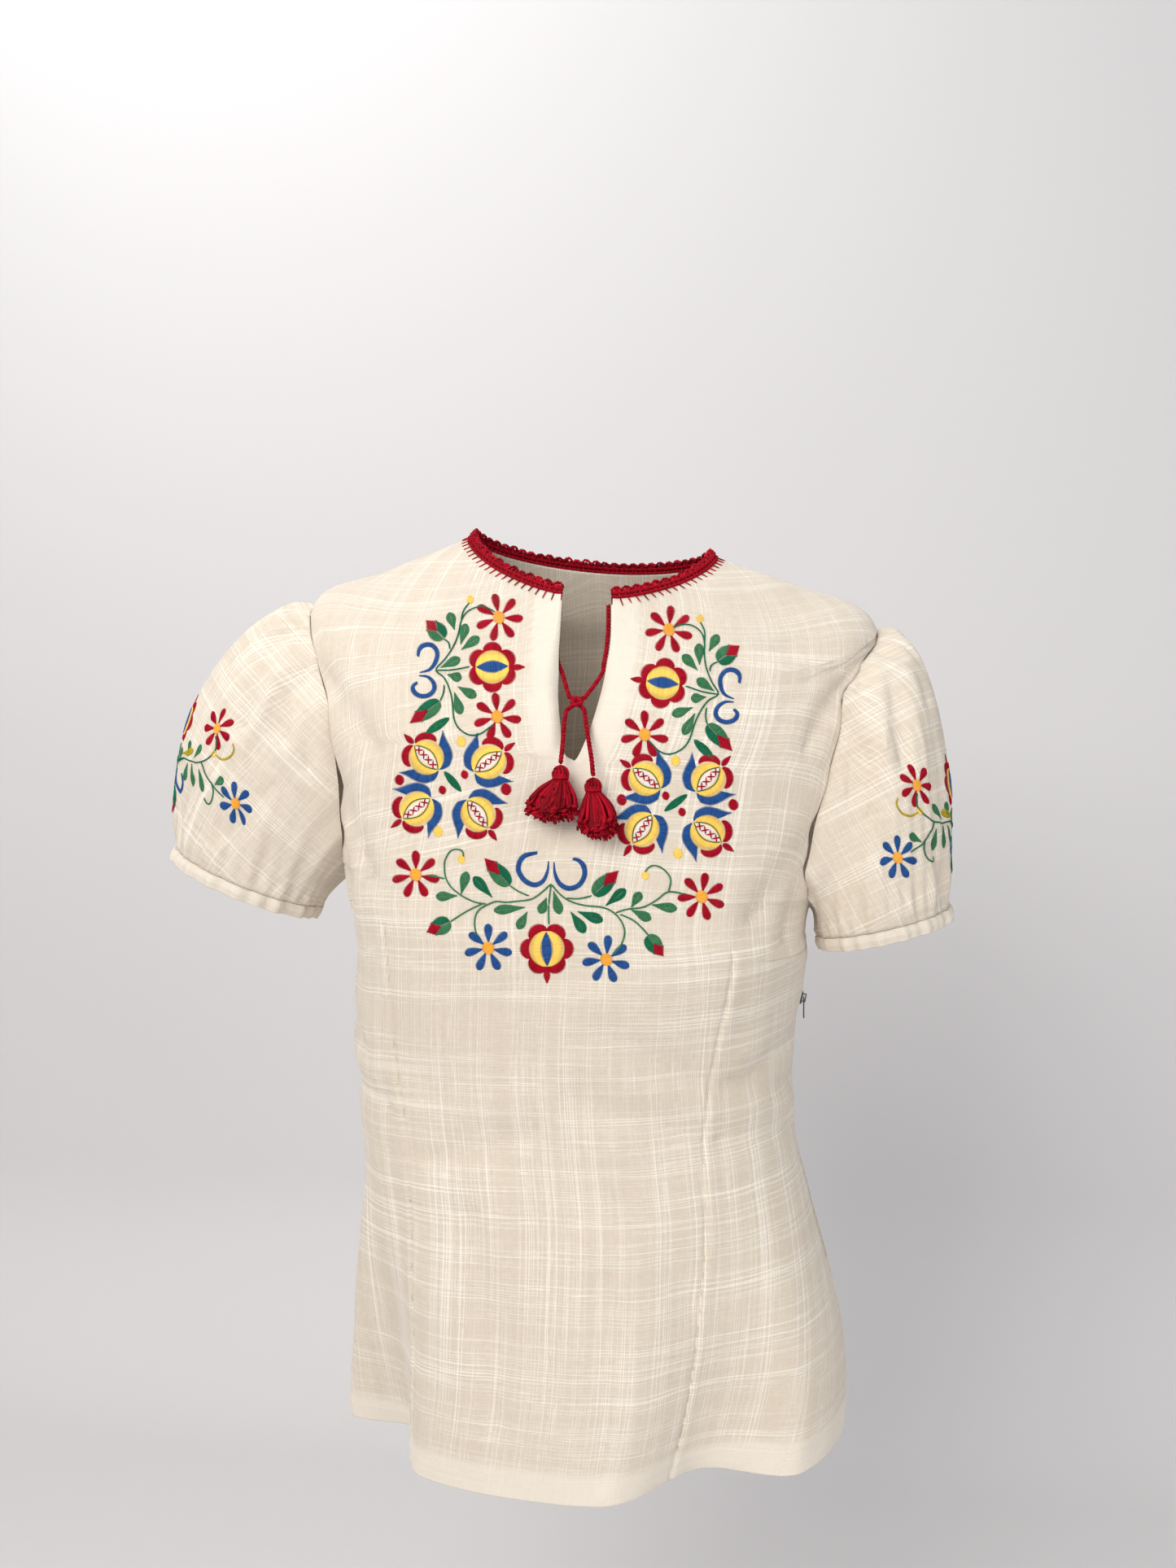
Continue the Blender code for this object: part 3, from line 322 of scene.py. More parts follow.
# Creases of a sleeve: start and end as share round it and down it, half width and depth.
SLEEVE_CREASES = (
    ((0.42, 0.03), (0.30, 0.46), 0.0075, -0.0042),
    ((0.385, 0.03), (0.26, 0.36), 0.0060, 0.0022),
    ((0.35, 0.03), (0.22, 0.32), 0.0065, -0.0034),
    ((0.47, 0.03), (0.41, 0.36), 0.0060, -0.0030),
    ((0.29, 0.05), (0.17, 0.26), 0.0060, -0.0026),
    ((0.55, 0.03), (0.61, 0.38), 0.0070, -0.0034),
    ((0.64, 0.03), (0.73, 0.34), 0.0070, -0.0032),
    ((0.21, 0.50), (0.29, 0.88), 0.0090, -0.0022),
    ((0.36, 0.74), (0.40, 0.97), 0.0060, -0.0020),
    ((0.63, 0.72), (0.60, 0.96), 0.0060, -0.0020),
)


@dataclass(frozen=True)
class Sleeve:
    """One puff sleeve: the ring where it meets its cuff, and how far it puffs out on the way."""

    name: str
    side: int
    middle: tuple[float, float, float]
    tip: float
    half_across: float
    half_deep: float
    puff_top: float
    puff_side: float
    puff_under: float
    bag_outside: float
    draw_in: float


SLEEVES = (
    Sleeve("right", -1, (-0.246, -0.0105, -0.2377), 23.0, 0.057, 0.048, 0.190, 0.120, 0.020, 0.270, 0.58),
    Sleeve("left", 1, (0.2045, -0.0050, -0.2653), 14.6, 0.0455, 0.055, 0.150, 0.120, 0.016, 0.170, 0.34),
)
SIDE_DRAW_IN = 0.20
SLEEVE_HEM = 0.003
SLEEVE_TOP_LEVEL = 8.4
TOP_COLUMN_SPACING = 0.0048
COLUMN_SPACING = 0.0135
CAP_GATHERS = 8
CAP_GATHER_HALF_SPAN = 0.15
CAP_GATHER_DEPTH = 0.0026
CUFF_GATHERS = 14
CUFF_GATHER_DEPTH = 0.0022
SMALL_PUCKERS = 31


class SleeveForm:
    """Outer face of one sleeve and its cuff."""

    def __init__(self, body: BodyForm, sleeve: Sleeve) -> None:
        """Reads the armhole's seam line from the body.

        Args:
            body: the form that the sleeve is sewn to.
            sleeve: the sleeve's sizes.
        """
        self.body, self.sleeve = body, sleeve
        tip = math.radians(sleeve.tip)
        self.outward = np.array([sleeve.side * math.cos(tip), 0.0, math.sin(tip)])
        self.forward = np.array([0.0, -1.0, 0.0])
        self.exit_way = np.array([sleeve.side * math.sin(tip), 0.0, -math.cos(tip)])
        self.middle = np.array(sleeve.middle)
        self.shares, self.seam = self.armhole_loop()

    def armhole_loop(self) -> tuple[Array, Array]:
        """The armhole's seam: underarm, front edge, shoulder tip, back edge and underarm again."""
        levels = []
        for index, section in enumerate(SECTIONS[:-1]):
            levels += [index + step / section.rows for step in range(section.rows)]
        levels = sorted(x for x in [*levels, *UNDERARM_LEVELS] if ARMPIT <= x <= TIP)
        front = self.edge(np.array(levels), Panel.FRONT)
        steps = []
        for low, high, level in zip(front, front[1:], levels):
            spacing = TOP_COLUMN_SPACING if level >= SLEEVE_TOP_LEVEL else COLUMN_SPACING
            steps.append(max(1, round(float(np.linalg.norm(high - low)) / spacing)))
        half_shares = np.concatenate([[0], np.cumsum(steps)]) / (2 * sum(steps))
        fine_shares, fine_levels = [], []
        for index in range(len(levels) - 1):
            t = np.arange(6) / 6
            fine_levels.append(levels[index] + (levels[index + 1] - levels[index]) * t)
            fine_shares.append(half_shares[index] + (half_shares[index + 1] - half_shares[index]) * t)
        up = np.append(np.concatenate(fine_levels), TIP)
        share = np.append(np.concatenate(fine_shares), 0.5)
        points = np.concatenate([self.edge(up, Panel.FRONT), self.edge(up, Panel.BACK)[-2::-1]])
        return np.concatenate([share, 1 - share[-2::-1]]), points

    def edge(self, levels: Array, panel: Panel) -> Array:
        """Points of the seam line on one panel's side of the armhole."""
        angle = self.sleeve.side * self.body.edge_angle(self.sleeve.side, levels, panel)
        return self.body.point(angle if panel is Panel.FRONT else 180 - angle, levels)

    def cuff_ring(self, share: Array, drop: Array, bulge: Array = 0.0) -> Array:
        """Points of the cuff's ring, from the underarm over the front and the outside."""
        turn = 2 * np.pi * np.asarray(share)
        pucker = bulge + 0.0006 * np.cos(CUFF_GATHERS * turn)
        pucker = pucker + 0.0005 * np.sin(SMALL_PUCKERS * turn + 1.3 * np.sin(3 * turn))
        across = -np.cos(turn) * (self.sleeve.half_across + pucker)
        deep = np.sin(turn) * (self.sleeve.half_deep + pucker)
        return (
            self.middle
            + across[..., None] * self.outward
            + deep[..., None] * self.forward
            + np.asarray(drop)[..., None] * self.exit_way
        )

    def between_places(self, under: Array, front: Array, values: Sequence[float]) -> Array:
        """Value round the sleeve, between those of its underarm, its sides and its top."""
        low, side, top = values
        middle = (low + top) / 2
        return middle + under * (low - middle) + np.abs(front) * (side - middle)

    def point(self, share: Array, t: Array) -> Array:
        """Outer face of the sleeve.

        Args:
            share: place round the sleeve, from 0 at the underarm over the front and the outside to 1.
            t: place along it, from 0 at the armhole to 1 at the cuff.

        Returns:
            Points in the row frame.
        """
        share, t = np.broadcast_arrays(np.asarray(share, float) % 1.0, np.asarray(t, float))
        seam = np.stack([np.interp(share, self.shares, self.seam[:, k]) for k in range(3)], -1)
        under, front = np.cos(2 * np.pi * share), np.sin(2 * np.pi * share)
        sizes = self.sleeve
        puff = self.between_places(under, front, (sizes.puff_under, sizes.puff_side, sizes.puff_top))
        bag = self.between_places(under, front, (sizes.puff_under, sizes.puff_side, sizes.bag_outside))
        draw = self.between_places(under, front, (0.0, SIDE_DRAW_IN, sizes.draw_in))
        end = self.cuff_ring(share, np.full(share.shape, -SLEEVE_HEM))
        way_out = unit(
            np.stack([np.full(share.shape, sizes.side * 0.85), -0.42 * front, -0.22 - 0.32 * under], -1)
        )
        way_in = unit(self.exit_way - unit(end - self.middle) * draw[..., None])
        cube, square = (t**3)[..., None], (t**2)[..., None]
        tt = t[..., None]
        found = (
            seam * (2 * cube - 3 * square + 1)
            + way_out * puff[..., None] * (cube - 2 * square + tt)
            + end * (3 * square - 2 * cube)
            + way_in * bag[..., None] * (cube - square)
        )
        centre = np.stack([np.interp(t, *self.axis(k)) for k in range(3)], -1)
        return found + unit(found - centre) * self.gathers(share, t)[..., None]

    def axis(self, column: int) -> tuple[Array, Array]:
        """Rough middle line of the sleeve, for one coordinate, as places and values."""
        start = self.seam[:, column].mean()
        end = self.middle[column]
        bulge = self.outward[column] * 0.018
        return np.array([0.0, 0.5, 1.0]), np.array([start, (start + end) / 2 + bulge, end])

    def gathers(self, share: Array, t: Array) -> Array:
        """Height of the gathers of the cap and of the cuff, with uneven small puckers between them."""
        turn = 2 * np.pi * share
        cap = np.where(t < 0.1, t / 0.1, clamp(1 - (t - 0.1) / 0.26) ** 1.5)
        from_top = (share - 0.5) / CAP_GATHER_HALF_SPAN
        phase = np.pi * CAP_GATHERS * from_top + 0.7 * np.sin(2.3 * from_top)
        wave = swell(from_top) ** 0.5 * np.cos(phase)
        hem = np.where(t > 0.9, 1.0, clamp((t - 0.80) / 0.10) ** 1.5)
        uneven = 1 + 0.45 * np.sin(3 * turn + 0.6) * np.sin(5 * turn + 1.9)
        cuff = np.cos(CUFF_GATHERS * turn + 0.5 * np.sin(2 * turn)) * (1.15 - np.cos(turn)) / 2 * uneven
        small = np.sin(SMALL_PUCKERS * turn + 1.3 * np.sin(3 * turn))
        fade = np.where(t > 0.93, (1 - t) / 0.07, 1.0)
        push = CAP_GATHER_DEPTH * cap * wave + 0.45 * CUFF_GATHER_DEPTH * hem * cuff * fade
        push = push + 0.0006 * small * clamp((t - 0.84) / 0.1) * fade
        top = clamp(1 - t / 0.22) * clamp(t / 0.02) * swell(from_top / 1.6)
        push = push + 0.0006 * top * np.sin(2 * np.pi * share * 62)
        slow = np.sin(turn * 2 + 4 * t) * np.sin(5.3 * t + turn) + 0.6 * np.sin(turn * 5 + 7 * t + 1)
        return push + 0.0011 * slow * np.sin(np.pi * clamp(t)) * (1.2 - np.cos(turn)) / 2


def grid_faces(rows: int, columns: int, wrap: bool = False, flip: bool = False) -> Array:
    """Quads of a grid whose points run row by row.

    Args:
        rows: number of rows.
        columns: number of points in each row.
        wrap: whether each row's end joins its start.
        flip: whether the faces look the other way.

    Returns:
        Four point numbers for each quad.
    """
    row, column = np.meshgrid(
        np.arange(rows - 1), np.arange(columns if wrap else columns - 1), indexing="ij"
    )
    nxt = (column + 1) % columns
    low, high = row * columns, (row + 1) * columns
    faces = np.stack([low + column, low + nxt, high + nxt, high + column], -1).reshape(-1, 4)
    return faces[:, ::-1] if flip else faces


def new_mesh(name: str, points: Array, faces: Iterable[Sequence[int]]) -> Object:
    """A mesh object in the scene, smooth shaded, from its points and faces."""
    mesh = bpy.data.meshes.new(name)
    listed = faces.tolist() if isinstance(faces, Array) else list(faces)
    mesh.from_pydata(np.asarray(points, float).reshape(-1, 3).tolist(), [], listed)
    mesh.shade_smooth()
    obj = bpy.data.objects.new(name, mesh)
    bpy.context.scene.collection.objects.link(obj)
    return obj


def set_uv(obj: Object, name: str, uv: Array) -> None:
    """Gives every corner of the mesh its point's place in a map."""
    mesh = obj.data
    corners = np.empty(len(mesh.loops), np.int32)
    mesh.loops.foreach_get("vertex_index", corners)
    layer = mesh.uv_layers.new(name=name)
    layer.uv.foreach_set("vector", np.asarray(uv, np.float32).reshape(-1, 2)[corners].ravel())


def set_value(obj: Object, name: str, values: Array) -> None:
    """Stores one number for each point of the mesh."""
    layer = obj.data.attributes.new(name, "FLOAT", "POINT")
    layer.data.foreach_set("value", np.asarray(values, np.float32).ravel())


def paint(obj: Object, material: Material) -> Object:
    """Gives the object its one material."""
    obj.data.materials.clear()
    obj.data.materials.append(material)
    return obj


def normals_of(points: Array) -> Array:
    """Unit normals of a grid of points, rows along the first axis."""
    return unit(np.cross(np.gradient(points, axis=1), np.gradient(points, axis=0)))


def thicken(obj: Object, thickness: float) -> Object:
    """Cloth wall that grows inwards from the outer face."""
    wall = obj.modifiers.new("wall", "SOLIDIFY")
    wall.thickness = thickness
    wall.offset = -1
    return obj


def finish_piece(
    obj: Object, material: Material, slot: str, *nodes: str
) -> Object:
    """Paints a piece, hangs it on the body and lets it stand for the part's own nodes, if any are named."""
    paint(obj, material)
    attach(obj, BODY)
    if nodes:
        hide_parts(*nodes)
    return obj


# Numbers of the Mix node's colour sockets.
MIX_COLOR_A, MIX_COLOR_B, MIX_COLOR_RESULT = 6, 7, 2


class Wiring:
    """Adds nodes to a tree and links them by socket names."""

    def __init__(self, tree: NodeTree) -> None:
        """Keeps the tree that the nodes go into."""
        self.tree = tree

    def add(self, kind: str, inputs: dict | None = None, **settings: object) -> Node:
        """Adds one node.

        Args:
            kind: the node's type name.
            inputs: values or sockets for its inputs, by name or number.
            settings: the node's own properties.

        Returns:
            The new node.
        """
        node = self.tree.nodes.new(kind)
        for key, value in settings.items():
            setattr(node, key, value)
        self.fill(node, inputs or {})
        return node

    def fill(self, node: Node, inputs: dict) -> None:
        """Sets or links the node's inputs, by name or number."""
        for key, value in inputs.items():
            if isinstance(value, NodeSocket):
                self.tree.links.new(value, node.inputs[key])
            else:
                node.inputs[key].default_value = value

    def math(self, operation: str, first: object, second: object = 0.0) -> NodeSocket:
        """Result of one sum, product or other operation on two values."""
        return self.add("ShaderNodeMath", {0: first, 1: second}, operation=operation).outputs[0]

    def mix(self, factor: object, low: object, high: object) -> NodeSocket:
        """Colour between two colours."""
        node = self.add("ShaderNodeMix", {0: factor, MIX_COLOR_A: low, MIX_COLOR_B: high}, data_type="RGBA")
        return node.outputs[MIX_COLOR_RESULT]

    def ramp(self, value: object, low: float, high: float) -> NodeSocket:
        """The value's place between two limits, from 0 to 1."""
        node = self.add("ShaderNodeMapRange", {"Value": value, "From Min": low, "From Max": high})
        return node.outputs["Result"]

    def streaks(self, u: object, v: object, width: float, length: float) -> NodeSocket:
        """Long thin noise, as threads give, of about that width along u and that length along v."""
        place = self.add(
            "ShaderNodeCombineXYZ",
            {0: self.math("DIVIDE", u, width), 1: self.math("DIVIDE", v, length)},
        )
        noise = self.add(
            "ShaderNodeTexNoise",
            {"Vector": place.outputs[0], "Scale": 1.0, "Detail": 2.0, "Roughness": 0.55},
            noise_dimensions="2D",
        )
        return noise.outputs["Fac"]


def new_group(
    name: str, inputs: dict, outputs: dict
) -> tuple[Wiring, dict, Node]:
    """Starts a shader node group.

    Args:
        name: the group's name.
        inputs: socket type for each named input.
        outputs: socket type for each named output.

    Returns:
        The group's wiring, its input sockets by name and its output node.
    """
    tree = bpy.data.node_groups.new(name, "ShaderNodeTree")
    for label, kind in inputs.items():
        tree.interface.new_socket(label, in_out="INPUT", socket_type=kind)
    for label, kind in outputs.items():
        tree.interface.new_socket(label, in_out="OUTPUT", socket_type=kind)
    start, end = tree.nodes.new("NodeGroupInput"), tree.nodes.new("NodeGroupOutput")
    return Wiring(tree), {label: start.outputs[label] for label in inputs}, end


def slub_weave_group() -> NodeTree:
    """Uneven plain weave: pale thick threads both ways over a fine ground."""
    wiring, given, end = new_group(
        "Slub Weave",
        {"Place": "NodeSocketVector", "Ground": "NodeSocketColor", "Slub": "NodeSocketColor"},
        {"Color": "NodeSocketColor", "Height": "NodeSocketFloat"},
    )
    place = wiring.add("ShaderNodeSeparateXYZ", {0: given["Place"]})
    u, v = place.outputs[0], place.outputs[1]
    warp = wiring.ramp(wiring.streaks(u, v, 0.00100, 0.30), 0.52, 0.62)
    weft = wiring.ramp(wiring.streaks(v, u, 0.00100, 0.24), 0.52, 0.62)
    short_warp = wiring.ramp(wiring.streaks(u, v, 0.0008, 0.035), 0.58, 0.74)
    short_weft = wiring.ramp(wiring.streaks(v, u, 0.0008, 0.030), 0.57, 0.73)
    patch = wiring.ramp(wiring.streaks(u, v, 0.013, 0.30), 0.34, 0.62)
    patch_weft = wiring.ramp(wiring.streaks(v, u, 0.012, 0.26), 0.34, 0.62)
    fine_warp = wiring.streaks(u, v, 0.00038, 0.006)
    fine_weft = wiring.streaks(v, u, 0.00038, 0.006)
    warp = wiring.math("MULTIPLY", wiring.math("MAXIMUM", warp, short_warp), patch)
    weft = wiring.math("MULTIPLY", wiring.math("MAXIMUM", weft, short_weft), patch_weft)
    slub = wiring.math("ADD", wiring.math("MULTIPLY", warp, 0.55), wiring.math("MULTIPLY", weft, 0.55))
    fine = wiring.math("MULTIPLY", wiring.math("ADD", fine_warp, fine_weft), 0.5)
    shade = wiring.math("ADD", slub, wiring.math("MULTIPLY", wiring.math("SUBTRACT", fine, 0.42), 0.9))
    color = wiring.mix(wiring.ramp(shade, -0.1, 1.0), given["Ground"], given["Slub"])
    height = wiring.math("ADD", wiring.math("MULTIPLY", slub, 0.7), fine)
    wiring.fill(end, {"Color": color, "Height": height})
    return wiring.tree


def yarn_group() -> NodeTree:
    """Thread or yarn: its colour varies a little from stitch to stitch and along its fibres."""
    wiring, given, end = new_group(
        "Yarn",
        {
            "Tone": "NodeSocketFloat",
            "Dark": "NodeSocketColor",
            "Light": "NodeSocketColor",
            "Fibre Scale": "NodeSocketFloat",
        },
        {"Color": "NodeSocketColor", "Height": "NodeSocketFloat"},
    )
    where = wiring.add("ShaderNodeTexCoord")
    noise = wiring.add(
        "ShaderNodeTexNoise",
        {"Vector": where.outputs["Object"], "Scale": given["Fibre Scale"], "Detail": 3.0},
    )
    tone = wiring.math("ADD", given["Tone"], wiring.math("SUBTRACT", noise.outputs["Fac"], 0.5))
    color = wiring.mix(wiring.ramp(tone, 0.0, 1.0), given["Dark"], given["Light"])
    wiring.fill(end, {"Color": color, "Height": noise.outputs["Fac"]})
    return wiring.tree


def new_material(name: str) -> tuple[Material, Wiring, Node]:
    """A material with its wiring and its shader."""
    material = bpy.data.materials.new(name)
    material.use_nodes = True
    return material, Wiring(material.node_tree), material.node_tree.nodes["Principled BSDF"]


Colour = tuple[float, float, float, float]


@dataclass(frozen=True)
class ClothFinish:
    """Slub-weave cotton; where the cloth is doubled it looks lighter."""

    name: str
    ground: Colour
    slub: Colour
    doubled: Colour
    sheen: float = 0.25

    def build(self, weave: NodeTree) -> Material:
        """The finish as a material, on the weave group."""
        material, wiring, shader = new_material(self.name)
        place = wiring.add("ShaderNodeUVMap", uv_map="Weave")
        given = {"Place": place.outputs[0], "Ground": self.ground, "Slub": self.slub}
        group = wiring.add("ShaderNodeGroup", given, node_tree=weave)
        mask = wiring.add("ShaderNodeAttribute", attribute_name="doubled")
        doubled = wiring.math("MULTIPLY", mask.outputs["Fac"], 0.72)
        color = wiring.mix(doubled, group.outputs["Color"], self.doubled)
        bump = wiring.add("ShaderNodeBump", {"Height": group.outputs["Height"], "Distance": 0.00022})
        bump.inputs["Strength"].default_value = 1.0
        wiring.fill(shader, {
            "Base Color": color,
            "Normal": bump.outputs[0],
            "Roughness": 0.82,
            "Specular IOR Level": 0.25,
            "Sheen Weight": self.sheen,
            "Sheen Roughness": 0.5,
        })
        return material


@dataclass(frozen=True)
class YarnFinish:
    """Thread, crochet or cord yarn in one colour."""

    name: str
    dark: Colour
    light: Colour
    roughness: float = 0.5
    sheen: float = 0.0
    fibre_scale: float = 900.0
    bump: float = 0.00008

    def build(self, yarn: NodeTree) -> Material:
        """The finish as a material, on the yarn group."""
        material, wiring, shader = new_material(self.name)
        tone = wiring.add("ShaderNodeAttribute", attribute_name="tone")
        given = {"Dark": self.dark, "Light": self.light, "Fibre Scale": self.fibre_scale}
        group = wiring.add("ShaderNodeGroup", {"Tone": tone.outputs["Fac"], **given}, node_tree=yarn)
        bump = wiring.add("ShaderNodeBump", {"Height": group.outputs["Height"], "Distance": self.bump})
        wiring.fill(shader, {
            "Base Color": group.outputs["Color"],
            "Normal": bump.outputs[0],
            "Roughness": self.roughness,
            "Specular IOR Level": 0.10,
            "Sheen Weight": self.sheen,
        })
        return material


@dataclass(frozen=True)
class PlainFinish:
    """Even surface such as tape or metal, with a faint unevenness in its gloss."""

    name: str
    color: Colour
    roughness: float
    metallic: float = 0.0
    unevenness: float = 0.04

    def build(self) -> Material:
        """The finish as a material."""
        material, wiring, shader = new_material(self.name)
        where = wiring.add("ShaderNodeTexCoord")
        noise = wiring.add("ShaderNodeTexNoise", {"Vector": where.outputs["Object"], "Scale": 40.0})
        low = self.roughness * (1 - self.unevenness)
        high = min(1.0, self.roughness * (1 + self.unevenness))
        limits = {"Value": noise.outputs["Fac"], "To Min": low, "To Max": high}
        rough = wiring.add("ShaderNodeMapRange", limits).outputs["Result"]
        wiring.fill(shader, {"Base Color": self.color, "Roughness": rough, "Metallic": self.metallic})
        return material


@dataclass(frozen=True)
class BackdropFinish:
    """Even matt wall that can be looked through from behind."""

    name: str
    color: Colour

    def build(self) -> Material:
        """The finish as a material."""
        material, wiring, shader = new_material(self.name)
        wiring.fill(shader, {"Base Color": self.color, "Roughness": 0.9})
        side = wiring.add("ShaderNodeNewGeometry").outputs["Backfacing"]
        clear = wiring.add("ShaderNodeBsdfTransparent").outputs[0]
        both = wiring.add("ShaderNodeMixShader", {0: side, 1: shader.outputs[0], 2: clear})
        wiring.fill(wiring.tree.nodes["Material Output"], {"Surface": both.outputs[0]})
        return material


class Hue(Enum):
    """Thread colours of the work."""

    RED = YarnFinish("red_thread", (0.24, 0.0010, 0.008, 1), (0.47, 0.002, 0.022, 1))
    BLUE = YarnFinish("blue_thread", (0.010, 0.052, 0.19, 1), (0.027, 0.110, 0.34, 1))
    YELLOW = YarnFinish("yellow_thread", (0.86, 0.54, 0.08, 1), (0.97, 0.72, 0.18, 1))
    ORANGE = YarnFinish("orange_thread", (0.84, 0.34, 0.03, 1), (0.97, 0.50, 0.08, 1))
    DARK_GREEN = YarnFinish("dark_green_thread", (0.002, 0.085, 0.036, 1), (0.009, 0.18, 0.085, 1))
    GREEN = YarnFinish("green_thread", (0.022, 0.125, 0.052, 1), (0.062, 0.235, 0.105, 1))
    OLIVE = YarnFinish("olive_thread", (0.34, 0.25, 0.01, 1), (0.55, 0.42, 0.03, 1))
    WHITE = YarnFinish("white_thread", (0.80, 0.70, 0.64, 1), (0.90, 0.84, 0.78, 1))
    CREAM = YarnFinish("cream_thread", (0.78, 0.72, 0.61, 1), (0.90, 0.85, 0.75, 1))
    # Dart seam thread: real stitching, in a darker colour that is painted shade of the seam grooves.
    SEAM = YarnFinish("seam_shade_thread", (0.52, 0.46, 0.38, 1), (0.64, 0.58, 0.49, 1))
    CRIMSON = YarnFinish("crimson_yarn", (0.15, 0.0006, 0.005, 1), (0.49, 0.004, 0.020, 1), roughness=0.65)


MATERIALS: dict[Hue, Material] = {}


@dataclass(frozen=True)
class PlacedCrease:
    """A crease between two points in space."""

    start: Array
    end: Array
    half_width: float
    depth: float

    def height(self, points: Array) -> Array:
        """How far it moves each point, outwards where positive."""
        way = self.end - self.start
        t = clamp(((points - self.start) @ way) / (way @ way))
        away = np.linalg.norm(points - (self.start + t[..., None] * way), axis=-1)
        taper = np.sin(np.pi * (0.12 + 0.76 * t))
        trough = ridge(away, self.half_width * taper)
        rim = ridge(away - 1.9 * self.half_width, self.half_width)
        return self.depth * trough - 0.35 * self.depth * rim


class BodyPanels:
    """Front, back and slit facing, as fine grids on the body's form."""

    wall: float = 0.0007
    columns: int = 60
    rows_per_level: int = 14
    hem_depth: float = 0.020
    facing_width: float = 0.019
    facing_start: float = 7.76
    facing_inset: float = 0.0019
    facing_shares: Array = np.linspace(0, 2 / 12, 9)
    doubled_start: float = 7.78
    dart_ridge_offset: float = 0.0042
    weld_gap: float = 3e-5
    back_weave_shift: float = 0.7

    def __init__(self, body: BodyForm, cloth: Material) -> None:
        """Keeps the form and the finish."""
        self.body, self.cloth = body, cloth
        self.surfaces: dict[Panel, tuple[Array, Array]] = {}

    def levels(self) -> Array:
        """Levels of the grid's rows, closer together at the hem's edge."""
        fine = np.linspace(0, NECK, NECK * self.rows_per_level + 1)
        extra = (0.02, 0.04, *UNDERARM_LEVELS, *ZIP_END_LEVELS, 7.02, 8.03)
        return np.unique(np.concatenate([fine, extra]))

    def shares(self, panel: Panel) -> Array:
        """Shares of the grid's columns, closer together along the front's dart."""
        even = np.linspace(0, 1, self.columns + 1)
        edge = (0.985, 0.9925)
        if panel is Panel.BACK:
            return np.unique(np.concatenate([even, edge]))
        dart = DART_COLUMN + np.array([-0.012, -0.006, -0.003, 0.0, 0.003, 0.006, 0.012])
        return np.unique(np.concatenate([even, dart, edge]))

    def half(self, side: int, panel: Panel) -> tuple[Array, Array, Array]:
        """Points, cloth places and doubled mask of one half of a panel."""
        share, level = np.meshgrid(self.shares(panel), self.levels())
        points = self.body.panel_point(side, share, level, panel)
        outward = side if panel is Panel.FRONT else -side
        normals = normals_of(points) * outward
        across, along = distances(points, 1), distances(points)
        relief = self.relief(panel, share, level, across, along, points)
        doubled = clamp((self.hem_depth - along) / 0.0012 + 0.5)
        if panel is Panel.FRONT:
            band = clamp((self.facing_width - across) / 0.0012 + 0.5)
            doubled = np.maximum(doubled, band * clamp((level - self.doubled_start) / 0.03))
        points = points + normals * relief[..., None]
        shift = 0.0 if panel is Panel.FRONT else self.back_weave_shift
        place = np.stack([side * across + shift, along], -1)
        return points, place, doubled

    def relief(
        self,
        panel: Panel,
        share: Array,
        level: Array,
        across: Array,
        along: Array,
        points: Array,
    ) -> Array:
        """Height of the seams, the darts, the hem and the creases."""
        push = np.zeros_like(share)
        from_edge = across[:, -1:] - across
        push -= 0.0005 * ridge(from_edge, 0.0016)
        push += 0.00025 * ridge(from_edge - 0.004, 0.003) * np.sin(along * 2 * np.pi / 0.007)
        push -= 0.00030 * ridge(along - self.hem_depth, 0.0011)
        push += 0.00035 * ridge(along - 0.012, 0.008) * np.sin(across * 2 * np.pi / 0.034 + 2 * share)
        if panel is Panel.FRONT:
            at_dart = np.stack([np.interp(DART_COLUMN, share[0], row) for row in across])
            away = across - at_dart[:, None]
            run = clamp((6.55 - level) / 0.25)
            beside = ridge(away - self.dart_ridge_offset, 0.0040)
            push += run * (-0.0013 * ridge(away, 0.0015) + 0.0009 * beside)
            pucker = np.sin(along * 2 * np.pi / 0.011 + np.sin(along * 90))
            push += run * 0.00035 * ridge(away, 0.008) * pucker
            slit = clamp((level - self.doubled_start) / 0.05)
            push -= slit * 0.00022 * ridge(across - self.facing_width, 0.0009)
            push += slit * 0.0003 * ridge(across - 0.001, 0.0014)
        for start, end, half_width, depth in CREASES[panel]:
            ends = (self.body.point(*place) for place in (start, end))
            push += PlacedCrease(*ends, half_width, depth).height(points)
        x, z = points[..., 0], points[..., 2]
        slow = np.sin(x * 71 + 2.1 * np.sin(z * 23)) * np.sin(z * 47 + 1.3)
        return push + 0.0005 * slow

    def join_halves(
        self, name: str, panel: Panel, halves: Sequence[tuple[Array, ...]]
    ) -> tuple[Object, Array, Array]:
        """Makes one piece of cloth of two halves, welded where they meet.

        Args:
            name: the object's name.
            panel: the panel that the piece lies on.
            halves: points, cloth places and doubled mask of the right and of the left half.

        Returns:
            The object, and the points and faces of its outer face.
        """
        quads, shift = [], 0
        for side, (points, *_) in zip((-1, 1), halves):
            flip = (side < 0) == (panel is Panel.FRONT)
            quads.append(grid_faces(*points.shape[:2], flip=flip) + shift)
            shift += points.shape[0] * points.shape[1]
        points, places, doubled = (
            np.concatenate([values.reshape(-1, size) for values in both])
            for both, size in zip(zip(*halves), (3, 2, 1))
        )
        faces = np.concatenate(quads)
        obj = new_mesh(name, points, faces)
        set_uv(obj, "Weave", places)
        set_value(obj, "doubled", doubled)
        obj.modifiers.new("centre", "WELD").merge_threshold = self.weld_gap
        return thicken(obj, self.wall), points, faces

